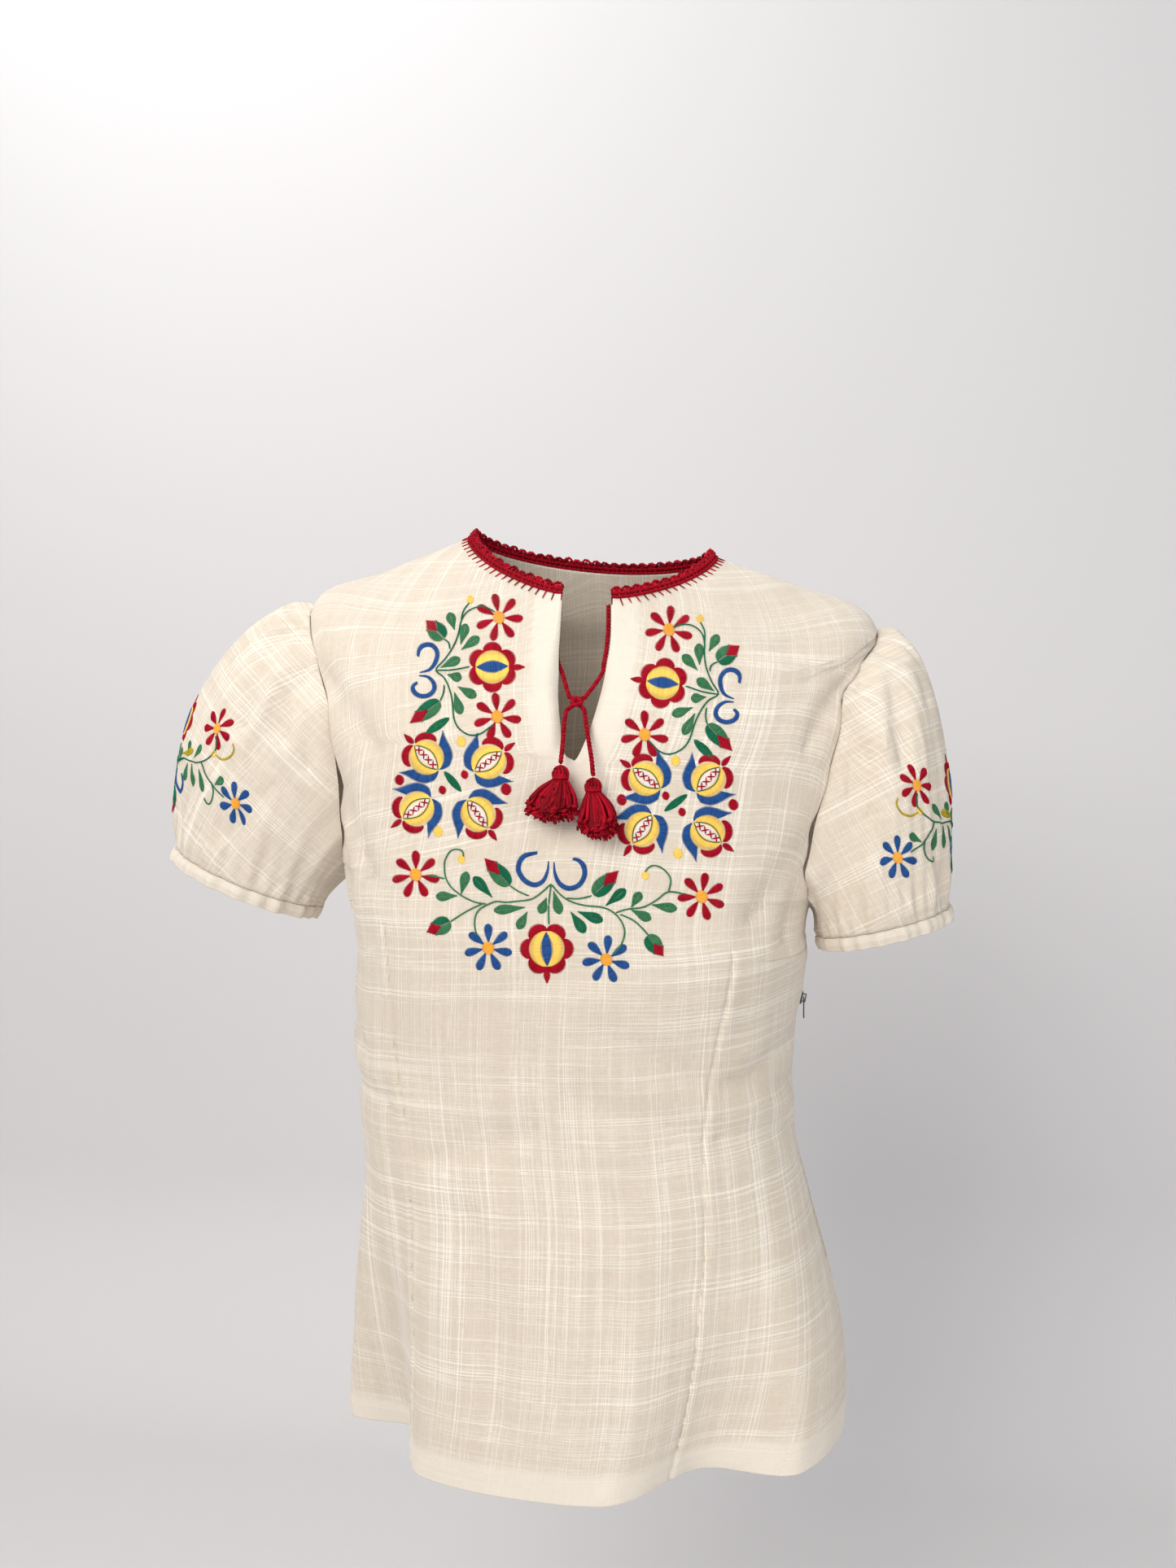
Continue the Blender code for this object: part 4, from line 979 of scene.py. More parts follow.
    def build_panel(self, panel: Panel) -> None:
        halves = [self.half(side, panel) for side in (-1, 1)]
        obj, points, faces = self.join_halves(f"{panel.value}_cloth", panel, halves)
        self.surfaces[panel] = (points, faces)
        finish_piece(obj, self.cloth, "slub_cotton", panel.value)
        across, along = grid_size(halves[-1][0])
        declare_cloth(obj, mesh_area(points, faces), (2 * across, along))

    def build_facing(self) -> None:
        """Builds the strip behind the neck slit."""
        levels = self.levels()
        share, level = np.meshgrid(self.facing_shares, levels[levels > self.facing_start])
        halves = []
        for side in (-1, 1):
            points = self.body.panel_point(side, share, level, Panel.FRONT, self.facing_inset)
            halves.append((points, points[..., (0, 2)], np.ones(share.shape)))
        obj, _, _ = self.join_halves("slit_facing_cloth", Panel.FRONT, halves)
        finish_piece(obj, self.cloth, "slub_cotton", "slit_facing")

    def build(self) -> None:
        """Builds all three pieces."""
        for panel in Panel:
            self.build_panel(panel)
        self.build_facing()


def mesh_area(points: Array, faces: Array) -> float:
    """Area of a quad mesh."""
    first = points[faces[:, 2]] - points[faces[:, 0]]
    second = points[faces[:, 3]] - points[faces[:, 1]]
    return float(np.linalg.norm(np.cross(first, second), axis=1).sum() / 2)


def grid_size(points: Array) -> tuple[float, float]:
    """Longest row and longest column of a grid of points."""
    rows = np.linalg.norm(np.diff(points, axis=1), axis=-1).sum(axis=1)
    columns = np.linalg.norm(np.diff(points, axis=0), axis=-1).sum(axis=0)
    return float(rows.max()), float(columns.max())


def declare_cloth(obj: Object, area: float, flat: tuple[float, float]) -> None:
    """Logs a sheet of cloth's flat area and the rectangle that it was cut from."""
    flat = (round(flat[0] + 0.005, 3), round(flat[1] + 0.005, 3))
    LOG.info("%s: cut %.3f x %.3f m, %.4f square metres", obj.name, *flat, area)


class PuffSleeve:
    """One sleeve with its narrow gathered cuff."""

    wall: float = 0.0007
    cuff_wall: float = 0.0018
    columns: int = 288
    weave_radius: float = 0.085
    cuff_drops: tuple[float, ...] = (0.0004, 0.0010, 0.0022, 0.0036, 0.0050, 0.0064, 0.0078, 0.0088, 0.0094)

    def __init__(self, form: SleeveForm, cloth: Material) -> None:
        """Keeps the form and the finish."""
        self.form, self.cloth = form, cloth
        self.grid: Array | None = None
        self.surface: tuple[Array, Array] | None = None

    def build(self) -> None:
        """Builds the sleeve and its cuff."""
        sizes = self.form.sleeve
        shares = np.arange(self.columns) / self.columns
        steps = np.unique(np.concatenate([np.linspace(0, 1, 57), (0.006, 0.012, 0.985, 0.993)]))
        share, t = np.meshgrid(shares, steps)
        points = self.form.point(share, t)
        radial, _ = self.round_axis(points)
        push = np.zeros_like(t)
        for start, end, half_width, depth in SLEEVE_CREASES:
            ends = [self.form.point(*np.array(place)[:, None])[0] for place in (start, end)]
            push += PlacedCrease(*ends, half_width, depth).height(points)
        push = push * clamp(t / 0.09) * clamp((1 - t) / 0.02)
        points = points + radial * push[..., None]
        last = self.form.cuff_ring(shares, np.zeros(self.columns))
        points = np.concatenate([points, last[None]])
        share = np.concatenate([share, share[-1:]])
        faces = grid_faces(*points.shape[:2], wrap=True, flip=sizes.side > 0)
        self.grid, self.surface = points, (points.reshape(-1, 3), faces)
        obj = new_mesh(f"sleeve_{sizes.name}_cloth", points, faces)
        set_uv(obj, "Weave", self.round_axis(points)[1])
        set_value(obj, "doubled", np.zeros(share.size))
        thicken(obj, self.wall)
        finish_piece(obj, self.cloth, "slub_cotton", f"sleeve_{sizes.name}")
        declare_cloth(obj, mesh_area(points.reshape(-1, 3), faces), grid_size(points))
        self.build_cuff(shares)

    def round_axis(self, points: Array) -> tuple[Array, Array]:
        """Way out of the sleeve's middle line at each point, and its place on the straight weave."""
        start = self.form.seam.mean(axis=0)
        axis = unit(self.form.middle - start)
        top = unit(self.form.outward - (self.form.outward @ axis) * axis)
        away = points - start
        down = away @ axis
        radial = away - down[..., None] * axis
        turned = np.arctan2(radial @ np.cross(axis, top), radial @ top)
        return unit(radial), np.stack([1.5 + self.weave_radius * np.abs(turned), down], -1)

    def build_cuff(self, shares: Array) -> None:
        """Builds the casing, whose edges are drawn in and whose face puckers."""
        sizes = self.form.sleeve
        drops = np.array(self.cuff_drops)
        place = drops / drops[-1]
        turn = 2 * np.pi * shares
        folds = 0.0009 * np.cos(22 * turn + 1.7 * np.sin(2 * turn) + 0.8 * np.sin(5 * turn))
        rows = []
        for drop, up in zip(drops, place):
            rounded = 0.0009 * math.sin(math.pi * up) ** 0.7
            groove = -0.0005 * (ridge(up - 0.16, 0.07) + ridge(up - 0.86, 0.07))
            rows.append(self.form.cuff_ring(shares, np.full(shares.shape, drop), rounded + groove + folds))
        points = np.stack(rows)
        faces = grid_faces(*points.shape[:2], wrap=True, flip=sizes.side > 0)
        obj = new_mesh(f"cuff_{sizes.name}_cloth", points, faces)
        around, along = np.meshgrid(0.46 * np.abs(shares - 0.5) * 2 + 2.2, drops)
        set_uv(obj, "Weave", np.stack([around, along], -1))
        set_value(obj, "doubled", np.full(around.size, 0.7))
        thicken(obj, self.cuff_wall)
        finish_piece(obj, self.cloth, "slub_cotton", f"cuff_{sizes.name}")


def tube_mesh(
    name: str, routes: Array, radius: Array, sides: int, tone: Array, flatten: float = 1.0
) -> Object:
    """Many small tubes in one mesh, with pinched ends.

    Args:
        name: the object's name.
        routes: points of the tubes, as tubes by points by three.
        radius: radius at each point, or one that broadcasts to them.
        sides: sides of each tube.
        tone: one number for each tube, for its shade.
        flatten: thickness as a share of the width.

    Returns:
        The mesh object.
    """
    count, stations = routes.shape[:2]
    ways = unit(np.gradient(routes, axis=1))
    helper = np.where(np.abs(ways[..., 2:3]) > 0.9, (1.0, 0.0, 0.0), (0.0, 0.0, 1.0))
    first = unit(np.cross(ways, helper))
    second = np.cross(ways, first) * flatten
    angles = 2 * np.pi * np.arange(sides) / sides
    radius = np.broadcast_to(radius, (count, stations))[..., None, None]
    ring = first[:, :, None] * np.cos(angles)[:, None] + second[:, :, None] * np.sin(angles)[:, None]
    points = routes[:, :, None] + ring * radius
    one = grid_faces(stations, sides, wrap=True)
    caps = [list(range(sides))[::-1], list(range((stations - 1) * sides, stations * sides))]
    shifts = np.arange(count) * stations * sides
    quads = (one[None] + shifts[:, None, None]).reshape(-1, 4).tolist()
    ends = [[corner + int(shift) for corner in cap] for shift in shifts for cap in caps]
    obj = new_mesh(name, points, quads + ends)
    set_value(obj, "tone", np.repeat(np.broadcast_to(tone, (count,)), stations * sides))
    return obj


def resample(points: Array, step: float, smooth: bool = True) -> Array:
    """Points an even step apart on a smooth curve through the given ones."""
    table = np.asarray(points, float)
    if smooth and len(table) > 2:
        table = between(table, np.linspace(0, len(table) - 1, 16 * (len(table) - 1) + 1))
    walked = distances(table)
    count = max(2, round(walked[-1] / step) + 1)
    where = np.linspace(0, walked[-1], count)
    return np.stack([np.interp(where, walked, table[:, k]) for k in range(table.shape[1])], -1)


def rope_routes(route: Array, radius: float, strands: int, pitch: float) -> Array:
    """Routes of the strands that are laid round a cord's middle line."""
    ways = unit(np.gradient(route, axis=0))
    side = np.cross(ways[0], (0.3, 1.0, 0.2))
    frames = []
    for way in ways:
        side = side - way * (side @ way)
        side = side / np.linalg.norm(side)
        frames.append(side)
    first = np.array(frames)
    second = np.cross(ways, first)
    phase = 2 * np.pi * distances(route)[None] / pitch + 2 * np.pi * np.arange(strands)[:, None] / strands
    return route + radius * (np.cos(phase)[..., None] * first + np.sin(phase)[..., None] * second)


class Crochet:
    """Neck edging: a chain along the neckline, posts, a second chain and fanned scallops."""

    scallops: int = 60
    start: float = 0.0008
    chain_height: float = 0.0042
    reach: float = 0.0088
    end_angle: float = 0.4

    def __init__(self, body: BodyForm, yarn: Material) -> None:
        """Keeps the form and the finish."""
        self.body, self.yarn = body, yarn

    def frame_at(self, angle: Array) -> tuple[Array, Array, Array]:
        """Start of the edging at an angle round the neck, the way it stands and the way it faces."""
        base = self.body.point(angle, np.full(np.shape(angle), float(NECK)))
        across = base[..., 0] - SECTIONS[NECK].shift
        outward = unit(np.stack([across, base[..., 1] * 1.6, np.zeros(np.shape(angle))], -1))
        rise = np.radians(46 + 16 * np.cos(np.radians(angle)) ** 2)[..., None]
        up = np.array([0.0, 0.0, 1.0])
        return base, up * np.sin(rise) - outward * np.cos(rise), up * np.cos(rise) + outward * np.sin(rise)

    def angles(self, count: int) -> Array:
        """Angles an even distance apart along the neckline, from one slit corner round the back."""
        fine = np.linspace(self.end_angle, 360 - self.end_angle, 721)
        walked = distances(self.frame_at(fine)[0])
        return np.interp(np.linspace(0, walked[-1], count), walked, fine)

    def at(self, angle: Array, up: Array, out: Array = 0.0) -> Array:
        """Point of the edging at a height on it and a distance out of its face."""
        base, stand, face = self.frame_at(angle)
        return base + stand * np.asarray(up)[..., None] + face * np.asarray(out)[..., None]

    def build(self) -> None:
        """Builds the edging as one mesh."""
        rng = np.random.default_rng(4)
        parts = [
            self.chain("neck_crochet", (self.start + 0.0003, 0.0), 0.00055, 0.0036, 0.00070, (0.35, 0.6)),
            self.chain("chain", (self.chain_height, 0.0004), 0.00060, 0.0042, 0.00078, (0.4, 0.65)),
        ]
        parts += [self.painted_shade_backing(), self.posts(rng), self.fans(rng), self.rims(rng)]
        finish_piece(join(parts), self.yarn, "crimson_yarn", "neck_edging")

    def chain(
        self, name: str, place: tuple[float, float], turn: float, pitch: float, radius: float, tones: tuple
    ) -> Object:
        """Two strands twisted round a line along the neck.

        Args:
            name: the object's name.
            place: how high the line lies on the edging and how far out of its face.
            turn: distance of the strands from the line.
            pitch: length of one twist.
            radius: radius of a strand.
            tones: shade of each strand.

        Returns:
            The mesh object.
        """
        line = self.at(self.angles(900), *place)
        return tube_mesh(name, rope_routes(line, turn, 2, pitch), radius, 6, np.array(tones))

    def painted_shade_backing(self) -> Object:
        """Dark sheet behind the stitches: painted shade that fills the holes between them."""
        angle = self.angles(601)
        heights = np.array([self.start, self.chain_height, 0.78 * self.reach])
        low = self.at(angle[None, :] + 0 * heights[:, None], heights[:, None] + 0 * angle, 0.00025)
        high = self.at(angle[None, :] + 0 * heights[:, None], heights[:, None] + 0 * angle, -0.00025)
        points = np.stack([low[0], low[1], low[2], high[2], high[1], high[0]], 1)
        obj = new_mesh("painted_shade_backing", points, grid_faces(len(angle), 6, wrap=True))
        # Lowest tone: the sheet's dark colour is painted shade in the holes of the crochet.
        set_value(obj, "tone", np.full(points.shape[0] * 6, -0.1))
        return obj

    def posts(self, rng: np.random.Generator) -> Object:
        """Short posts between the two chains, two to a scallop."""
        count = 2 * self.scallops
        ends = self.angles(count + 1)
        angle = (ends[:-1] + ends[1:]) / 2
        up = np.linspace(self.start, self.chain_height + 0.0002, 5)
        bend = rng.uniform(-0.4, 0.4, (count, 1)) * np.sin(np.pi * np.linspace(0, 1, 5))
        place = angle[:, None] + bend
        routes = self.at(place, np.broadcast_to(up, place.shape), 0.0001 + 0.0002 * rng.random((count, 1)))
        radius = np.array([0.0009, 0.0008, 0.00072, 0.0008, 0.0009])
        return tube_mesh("posts", routes, radius, 6, rng.random(count))

    def fans(self, rng: np.random.Generator) -> Object:
        """Three thick stitches that fan out in each scallop, no two scallops alike."""
        ends = self.angles(self.scallops + 1)
        routes = []
        for low, high in zip(ends, ends[1:]):
            middle, half = (low + high) / 2, (high - low) / 2
            tall = rng.uniform(0.78, 1.08)
            for lean in (-0.66, 0.0, 0.66):
                tall_here = tall * (self.reach - self.chain_height) * math.cos(lean * 1.15) ** 0.7
                top = self.chain_height + tall_here
                t = np.linspace(0, 1, 5)
                angle = middle + half * lean * (0.35 + 0.65 * t) + rng.uniform(-0.16, 0.16) * half * t
                height = self.chain_height - 0.0004 + (top - self.chain_height) * t
                routes.append(self.at(angle, height, rng.uniform(0.0002, 0.0010) * np.sin(np.pi * t)))
        routes = np.stack(routes)
        radius = np.array([0.00075, 0.00095, 0.00105, 0.00100, 0.00080])
        return tube_mesh("fans", routes, radius, 6, rng.random(len(routes)))

    def rims(self, rng: np.random.Generator) -> Object:
        """Yarn that runs over the top of each scallop."""
        ends = self.angles(self.scallops + 1)
        routes = []
        for low, high in zip(ends, ends[1:]):
            middle, half = (low + high) / 2, (high - low) / 2
            tall, tilt = rng.uniform(0.82, 1.10), rng.uniform(-0.12, 0.12)
            for out in (-0.0005, 0.0006):
                t = np.linspace(-1, 1, 13)
                arch = tall * (self.reach - self.chain_height) * np.cos(t * 1.32) ** 0.6
                height = (self.chain_height + arch) * (1 + tilt * t * (1 - t**2))
                wave = 0.00032 * np.cos(t * 11 + out * 4000)
                routes.append(self.at(middle + half * t, height + wave, out + 0 * t))
        return tube_mesh("rims", np.stack(routes), 0.00074, 6, rng.random(len(routes)))


def join(parts: list[Object]) -> Object:
    """Joins mesh objects into the first, which keeps its name."""
    bpy.ops.object.select_all(action="DESELECT")
    for part in parts:
        part.select_set(True)
    bpy.context.view_layer.objects.active = parts[0]
    bpy.ops.object.join()
    return parts[0]


# Routes of the tie's two halves, the same points as the part's own.
KNOT_MIDDLE = np.array([0.0044, -0.0938, -0.1196])
KNOT_RADIUS = 0.0030
CORD_RADIUS = 0.0015
CORD_TO_KNOT = KNOT_RADIUS + 0.0018 + 0.0003
Run = namedtuple("Run", "level beside inset")


@dataclass(frozen=True)
class TieHalf:
    """One half of the tie: the runs beside the slit, the ways to the knot and the tail's points."""

    name: str
    side: int
    runs: tuple[Run, ...]
    from_knot: tuple[float, float, float]
    to_tail: tuple[float, float, float]
    tail: tuple[tuple[float, float, float], ...]


TIE_HALVES = (
    TieHalf(
        "right", -1,
        (Run(10.80, -0.0015, 0.0056), Run(10.30, -0.0015, 0.0056), Run(9.85, -0.0015, 0.0056),
         Run(9.45, -0.0008, 0.0054), Run(9.15, 0.0022, 0.0036)),
        (-0.80, 0.10, 0.60), (-0.75, -0.10, -0.65),
        ((-0.0020, -0.0975, -0.1262), (-0.0026, -0.1025, -0.1349), (-0.0026, -0.1090, -0.1478),
         (-0.0030, -0.1150, -0.1590)),
    ),
    TieHalf(
        "left", 1,
        (Run(10.80, 0.0022, 0.0040), Run(10.30, 0.0021, 0.0030), Run(9.85, 0.0021, 0.0015),
         Run(9.45, 0.0021, 0.0005), Run(9.15, 0.0024, 0.0)),
        (0.86, 0.05, 0.50), (0.68, -0.10, -0.73),
        ((0.0098, -0.0965, -0.1270), (0.0112, -0.1005, -0.1340), (0.0132, -0.1055, -0.1437),
         (0.0158, -0.1105, -0.1565), (0.0172, -0.1140, -0.1668)),
    ),
)


@dataclass(frozen=True)
class TasselSize:
    """One tassel: where its skirt ends, and how wide and deep it is."""

    name: str
    low_x: float
    high_x: float
    length: float
    lean_y: float


TASSEL_SIZES = (
    TasselSize("right", -0.0238, 0.0075, 0.0290, -0.006),
    TasselSize("left", 0.0098, 0.0320, 0.0320, -0.006),
)


def turn_matrix(degrees: float, first: int, second: int) -> Array:
    """Matrix of a turn in the plane of two axes, from the first towards the second."""
    angle = math.radians(degrees)
    matrix = np.eye(3)
    matrix[first, first] = matrix[second, second] = math.cos(angle)
    matrix[first, second], matrix[second, first] = -math.sin(angle), math.sin(angle)
    return matrix


class Tie:
    """Cord in two halves with a half knot, and a tassel on each free end."""

    strand_radius: float = 0.00082
    strand_offset: float = 0.00078
    twist_pitch: float = 0.0078
    head_radius: float = 0.0050
    strands: int = 108
    head_strands: int = 14
    head_depth: float = 0.85
    knot_tilt: float = 35.0

    def __init__(self, body: BodyForm, yarn: Material) -> None:
        """Keeps the form and the finish."""
        self.body, self.yarn = body, yarn

    def route(self, half: TieHalf) -> Array:
        """Middle line of one half, from the neck through the knot to its tassel."""
        upper = []
        for run in half.runs:
            edge = self.body.panel_point(half.side, 0.0, run.level, Panel.FRONT, run.inset)
            upper.append(edge - np.array([half.side * run.beside, 0.0, 0.0]))
        from_knot, to_tail = (unit(np.array(way)) for way in (half.from_knot, half.to_tail))
        near = [KNOT_MIDDLE + from_knot * reach for reach in (CORD_TO_KNOT + CORD_RADIUS, CORD_TO_KNOT)]
        over = [KNOT_MIDDLE + from_knot * 0.0016 + np.array([0, 0.0008 * half.side, 0])]
        under = [KNOT_MIDDLE + to_tail * 0.0016 + np.array([0, -0.0008 * half.side, 0])]
        away = [KNOT_MIDDLE + to_tail * reach for reach in (CORD_TO_KNOT, CORD_TO_KNOT + CORD_RADIUS)]
        return resample(np.array([*upper, *near, *over, *under, *away, *half.tail]), 0.0005)

    def build(self) -> None:
        """Builds the cords, the knot and the tassels."""
        tassels = [self.build_tassel(half, size) for half, size in zip(TIE_HALVES, TASSEL_SIZES)]
        self.build_knot()
        for half, tassel in zip(TIE_HALVES, tassels):
            route = self.route(half)
            strands = rope_routes(route, self.strand_offset, 3, self.twist_pitch)
            tones = np.array([0.3, 0.5, 0.7])
            cord = tube_mesh(f"tie_cord_{half.name}", strands, self.strand_radius, 7, tones)
            nodes = (f"tie_upper_{half.name}", f"tie_tail_{half.name}")
            finish_piece(cord, self.yarn, "crimson_yarn", *nodes)

    def build_knot(self) -> None:
        """Builds two turns of cord wrapped round the crossing."""
        routes = []
        angle = np.linspace(0, 2 * np.pi, 41)
        for turn, grow in ((0, 1.0), (25, 0.92)):
            loop = np.stack([np.cos(angle), np.sin(angle), 0.25 * np.sin(angle)], -1) * KNOT_RADIUS * grow
            tilted = loop @ turn_matrix(self.knot_tilt, 1, 2).T
            routes.append(KNOT_MIDDLE + tilted @ turn_matrix(turn, 2, 0).T)
        strands = np.concatenate([rope_routes(route, 0.0007, 3, 0.0063) for route in routes])
        knot = tube_mesh("tie_knot_wraps", strands, 0.0008, 7, np.tile([0.35, 0.55, 0.7], 2))
        finish_piece(knot, self.yarn, "crimson_yarn", "tie_knot")

    def build_tassel(self, half: TieHalf, size: TasselSize) -> Object:
        """Builds a wound head, with a flat skirt of strands rooted in it."""
        rng = np.random.default_rng(7 + half.side)
        top = np.array(half.tail[-1])
        middle = top - np.array([0, 0, 0.0052 * 1.1 + 0.00105])
        radius = self.head_radius
        head = self.wound_head(f"tassel_{half.name}_yarn", middle, rng)
        turns = np.linspace(0, 2 * np.pi * 5, 160)
        wrap_radius = radius * 0.98
        wrap = np.stack([
            middle[0] + wrap_radius * np.cos(turns),
            middle[1] + self.head_depth * wrap_radius * np.sin(turns),
            middle[2] - 0.0030 + 0.0028 * turns / turns[-1],
        ], -1)
        wraps = tube_mesh("wraps", wrap[None], 0.00045, 6, np.array([0.7]))
        count = self.strands
        place = rng.uniform(-1, 1, count)
        depth = rng.uniform(-1, 1, count) * np.sqrt(1 - 0.7 * place**2)
        drop = np.full(count, -0.0030)
        root = middle + np.stack([0.72 * radius * place, 0.55 * radius * depth, drop], -1)
        centre, half_wide = (size.low_x + size.high_x) / 2, (size.high_x - size.low_x) / 2
        end_x = centre + half_wide * (place * 0.96 + rng.uniform(-0.07, 0.07, count))
        rounded = 0.76 + 0.24 * np.sqrt(1 - 0.9 * place**2)
        length = size.length * (rounded + rng.uniform(-0.10, 0.01, count))
        end = np.stack([end_x, middle[1] + size.lean_y + 0.0050 * depth, middle[2] - length], -1)
        t = np.linspace(0, 1, 14)[None, :, None]
        bulge = np.sin(np.pi * t) * (end[:, None] - root[:, None]) * np.array([0.34, 0.1, 0.0])
        phase = rng.uniform(0, 6, (count, 1, 1)) + np.array([0.0, 1.6, 3.2])
        wiggle = 0.0010 * t**2 * np.sin(t * rng.uniform(7, 13, (count, 1, 1)) + phase)
        loops = np.sin(t * rng.uniform(16, 26, (count, 1, 1)) + phase)
        curl = 0.0023 * clamp((t - 0.60) / 0.40) * loops * np.array([1.0, 0.8, 0.7])
        routes = root[:, None] + (end - root)[:, None] * t + bulge + wiggle + curl
        radii = np.interp(t[0, :, 0], (0, 0.3, 0.85, 1), (0.85, 1.15, 1.20, 0.7)) * MM
        core = self.skirt_core(middle, centre, half_wide, size)
        skirt = tube_mesh("skirt", routes, radii, 4, rng.random(count))
        tassel = join([head, wraps, core, skirt])
        return finish_piece(tassel, self.yarn, "crimson_yarn", f"tassel_{half.name}")

    def wound_head(self, name: str, middle: Array, rng: np.random.Generator) -> Object:
        """Round head with the strands of the tassel laid over it from the top."""
        radius = self.head_radius
        up = np.linspace(-1, 1, 11)
        rings = np.sqrt(np.maximum(1 - up**2, 0.02))[:, None] * radius * 0.88
        turn = np.linspace(0, 2 * np.pi, 21)[:-1]
        height = np.broadcast_to(up[:, None] * radius, (11, 20))
        deep = self.head_depth * rings * np.sin(turn)
        points = np.stack([rings * np.cos(turn), deep, height], -1) + middle
        head = new_mesh(name, points, grid_faces(11, 20, wrap=True))
        set_value(head, "tone", np.full(11 * 20, 0.1))
        strands = self.head_strands
        start = np.linspace(0, 2 * np.pi, strands + 1)[:-1, None] + rng.uniform(-0.06, 0.06, (strands, 1))
        rise = np.linspace(1.0, -0.92, 12)[None]
        wide = np.sqrt(np.maximum(1 - rise**2, 0.004)) * radius * 0.93
        swirl = start + 0.22 * (1 - rise)
        height = np.broadcast_to(rise * radius * 1.06, swirl.shape)
        deep = self.head_depth * wide * np.sin(swirl)
        routes = np.stack([wide * np.cos(swirl), deep, height], -1) + middle
        radii = np.interp(rise[0], (-0.92, 0, 1), (0.8, 1.0, 0.45)) * MM
        return join([head, tube_mesh("over", routes, radii, 5, rng.random(strands))])

    def skirt_core(
        self, middle: Array, centre: float, half_wide: float, size: TasselSize
    ) -> Object:
        """Yarn inside the skirt, so that no light comes through between the strands; its dark tone is
        painted shade.
        """
        down = np.linspace(0, 1, 9)[:, None]
        turn = np.linspace(0, 2 * np.pi, 25)[None, :-1]
        spread = self.head_radius * 0.7 + (0.86 * half_wide - self.head_radius * 0.7) * down**0.6
        spread = spread * np.where(down > 0.95, 0.66, np.where(down > 0.85, 0.92, 1.0))
        x = middle[0] + (centre - middle[0]) * down + spread * np.cos(turn)
        y = middle[1] + size.lean_y * down + (0.0030 + 0.0012 * down) * np.sin(turn)
        z = middle[2] - 0.0030 - (0.80 * size.length - 0.0030) * down + 0 * turn
        obj = new_mesh("skirt_core", np.stack([x, y, z], -1), grid_faces(9, 24, wrap=True, flip=True))
        # Lowest tone: the core's dark colour is painted shade inside the skirt.
        set_value(obj, "tone", np.full(9 * 24, 0.0))
        return obj


class SideZip:
    """Zip in the left side seam: teeth over the part's own tape, below its slider and pull."""

    pitch: float = 0.0021
    teeth_top: float = -0.3285
    tooth_half_length: float = 0.0008
    tooth_radius: float = 0.00042
    tooth_stagger: float = 0.0006

    def __init__(self, body: BodyForm, tape: Material, metal: Material) -> None:
        """Keeps the form and the finishes."""
        self.body, self.tape, self.metal = body, tape, metal

    def build(self) -> None:
        """Paints the part's own pieces and builds the teeth, which have the tape's colour."""
        for name in ("zip_slider", "zip_pull"):
            paint(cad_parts[name], self.metal)
        paint(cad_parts["side_zip"], self.tape)
        levels = np.linspace(ZIP_BOTTOM_LEVEL, ZIP_TOP_LEVEL, 200)
        line = self.body.point(np.full(200, 90.0), levels)
        line = resample(line, self.pitch / 2, smooth=False)
        line = line[line[:, 2] < self.teeth_top]
        inward = np.array([-0.98, 0.03, 0.18])
        way = np.array([0.0, 1.0, 0.0])
        offset = np.where(np.arange(len(line)) % 2, self.tooth_stagger, -self.tooth_stagger)[:, None]
        middle = line + inward * 0.0001 + way * offset
        half = way * self.tooth_half_length
        routes = np.stack([middle - half, middle, middle + half], 1)
        teeth = tube_mesh("zip_teeth", routes, self.tooth_radius, 6, np.linspace(0.3, 0.7, len(line)))
        finish_piece(teeth, self.tape, "zip_tape")


CAMERA_DISTANCE = 0.87
CAMERA_AZIMUTH = 7.0
CAMERA_HEIGHT = -0.172
PHOTO_WIDTH, PHOTO_HEIGHT, FOCAL_PIXELS = 1445, 1927, 1500.0
CHART_MM_PER_PIXEL = 0.5
CHART_DISTANCE = 750.0


def chart(*places: tuple[float, float]) -> Array:
    """Places of the photograph, in pixels, as millimetres across and up on the chart plane."""
    table = np.array(places, float)
    across, up = table[:, 0] - PHOTO_WIDTH / 2, PHOTO_HEIGHT / 2 - table[:, 1]
    return np.stack([across, up], -1) * CHART_MM_PER_PIXEL


class ChartView:
    """Lays chart places on the cloth along the camera's lines of sight."""

    def __init__(self, surfaces: Iterable[tuple[Array, Array]]) -> None:
        """Joins the surfaces that can carry stitches into one search tree."""
        self.tree = search_tree(surfaces)
        azimuth = math.radians(CAMERA_AZIMUTH)
        self.eye = Vector(
            (CAMERA_DISTANCE * math.sin(azimuth), -CAMERA_DISTANCE * math.cos(azimuth), CAMERA_HEIGHT)
        )
        self.right = Vector((math.cos(azimuth), math.sin(azimuth), 0))
        self.ahead = Vector((-math.sin(azimuth), math.cos(azimuth), 0))

    def lay(self, x: float, y: float) -> tuple[Vector, Vector] | None:
        """Point and normal of the cloth behind a chart place, or None where there is none."""
        way = self.ahead * CHART_DISTANCE + self.right * x + Vector((0, 0, y))
        hit, normal, _, _ = self.tree.ray_cast(self.eye, way.normalized())
        if hit is None:
            return None
        return hit, normal if normal.dot(way) < 0 else -normal


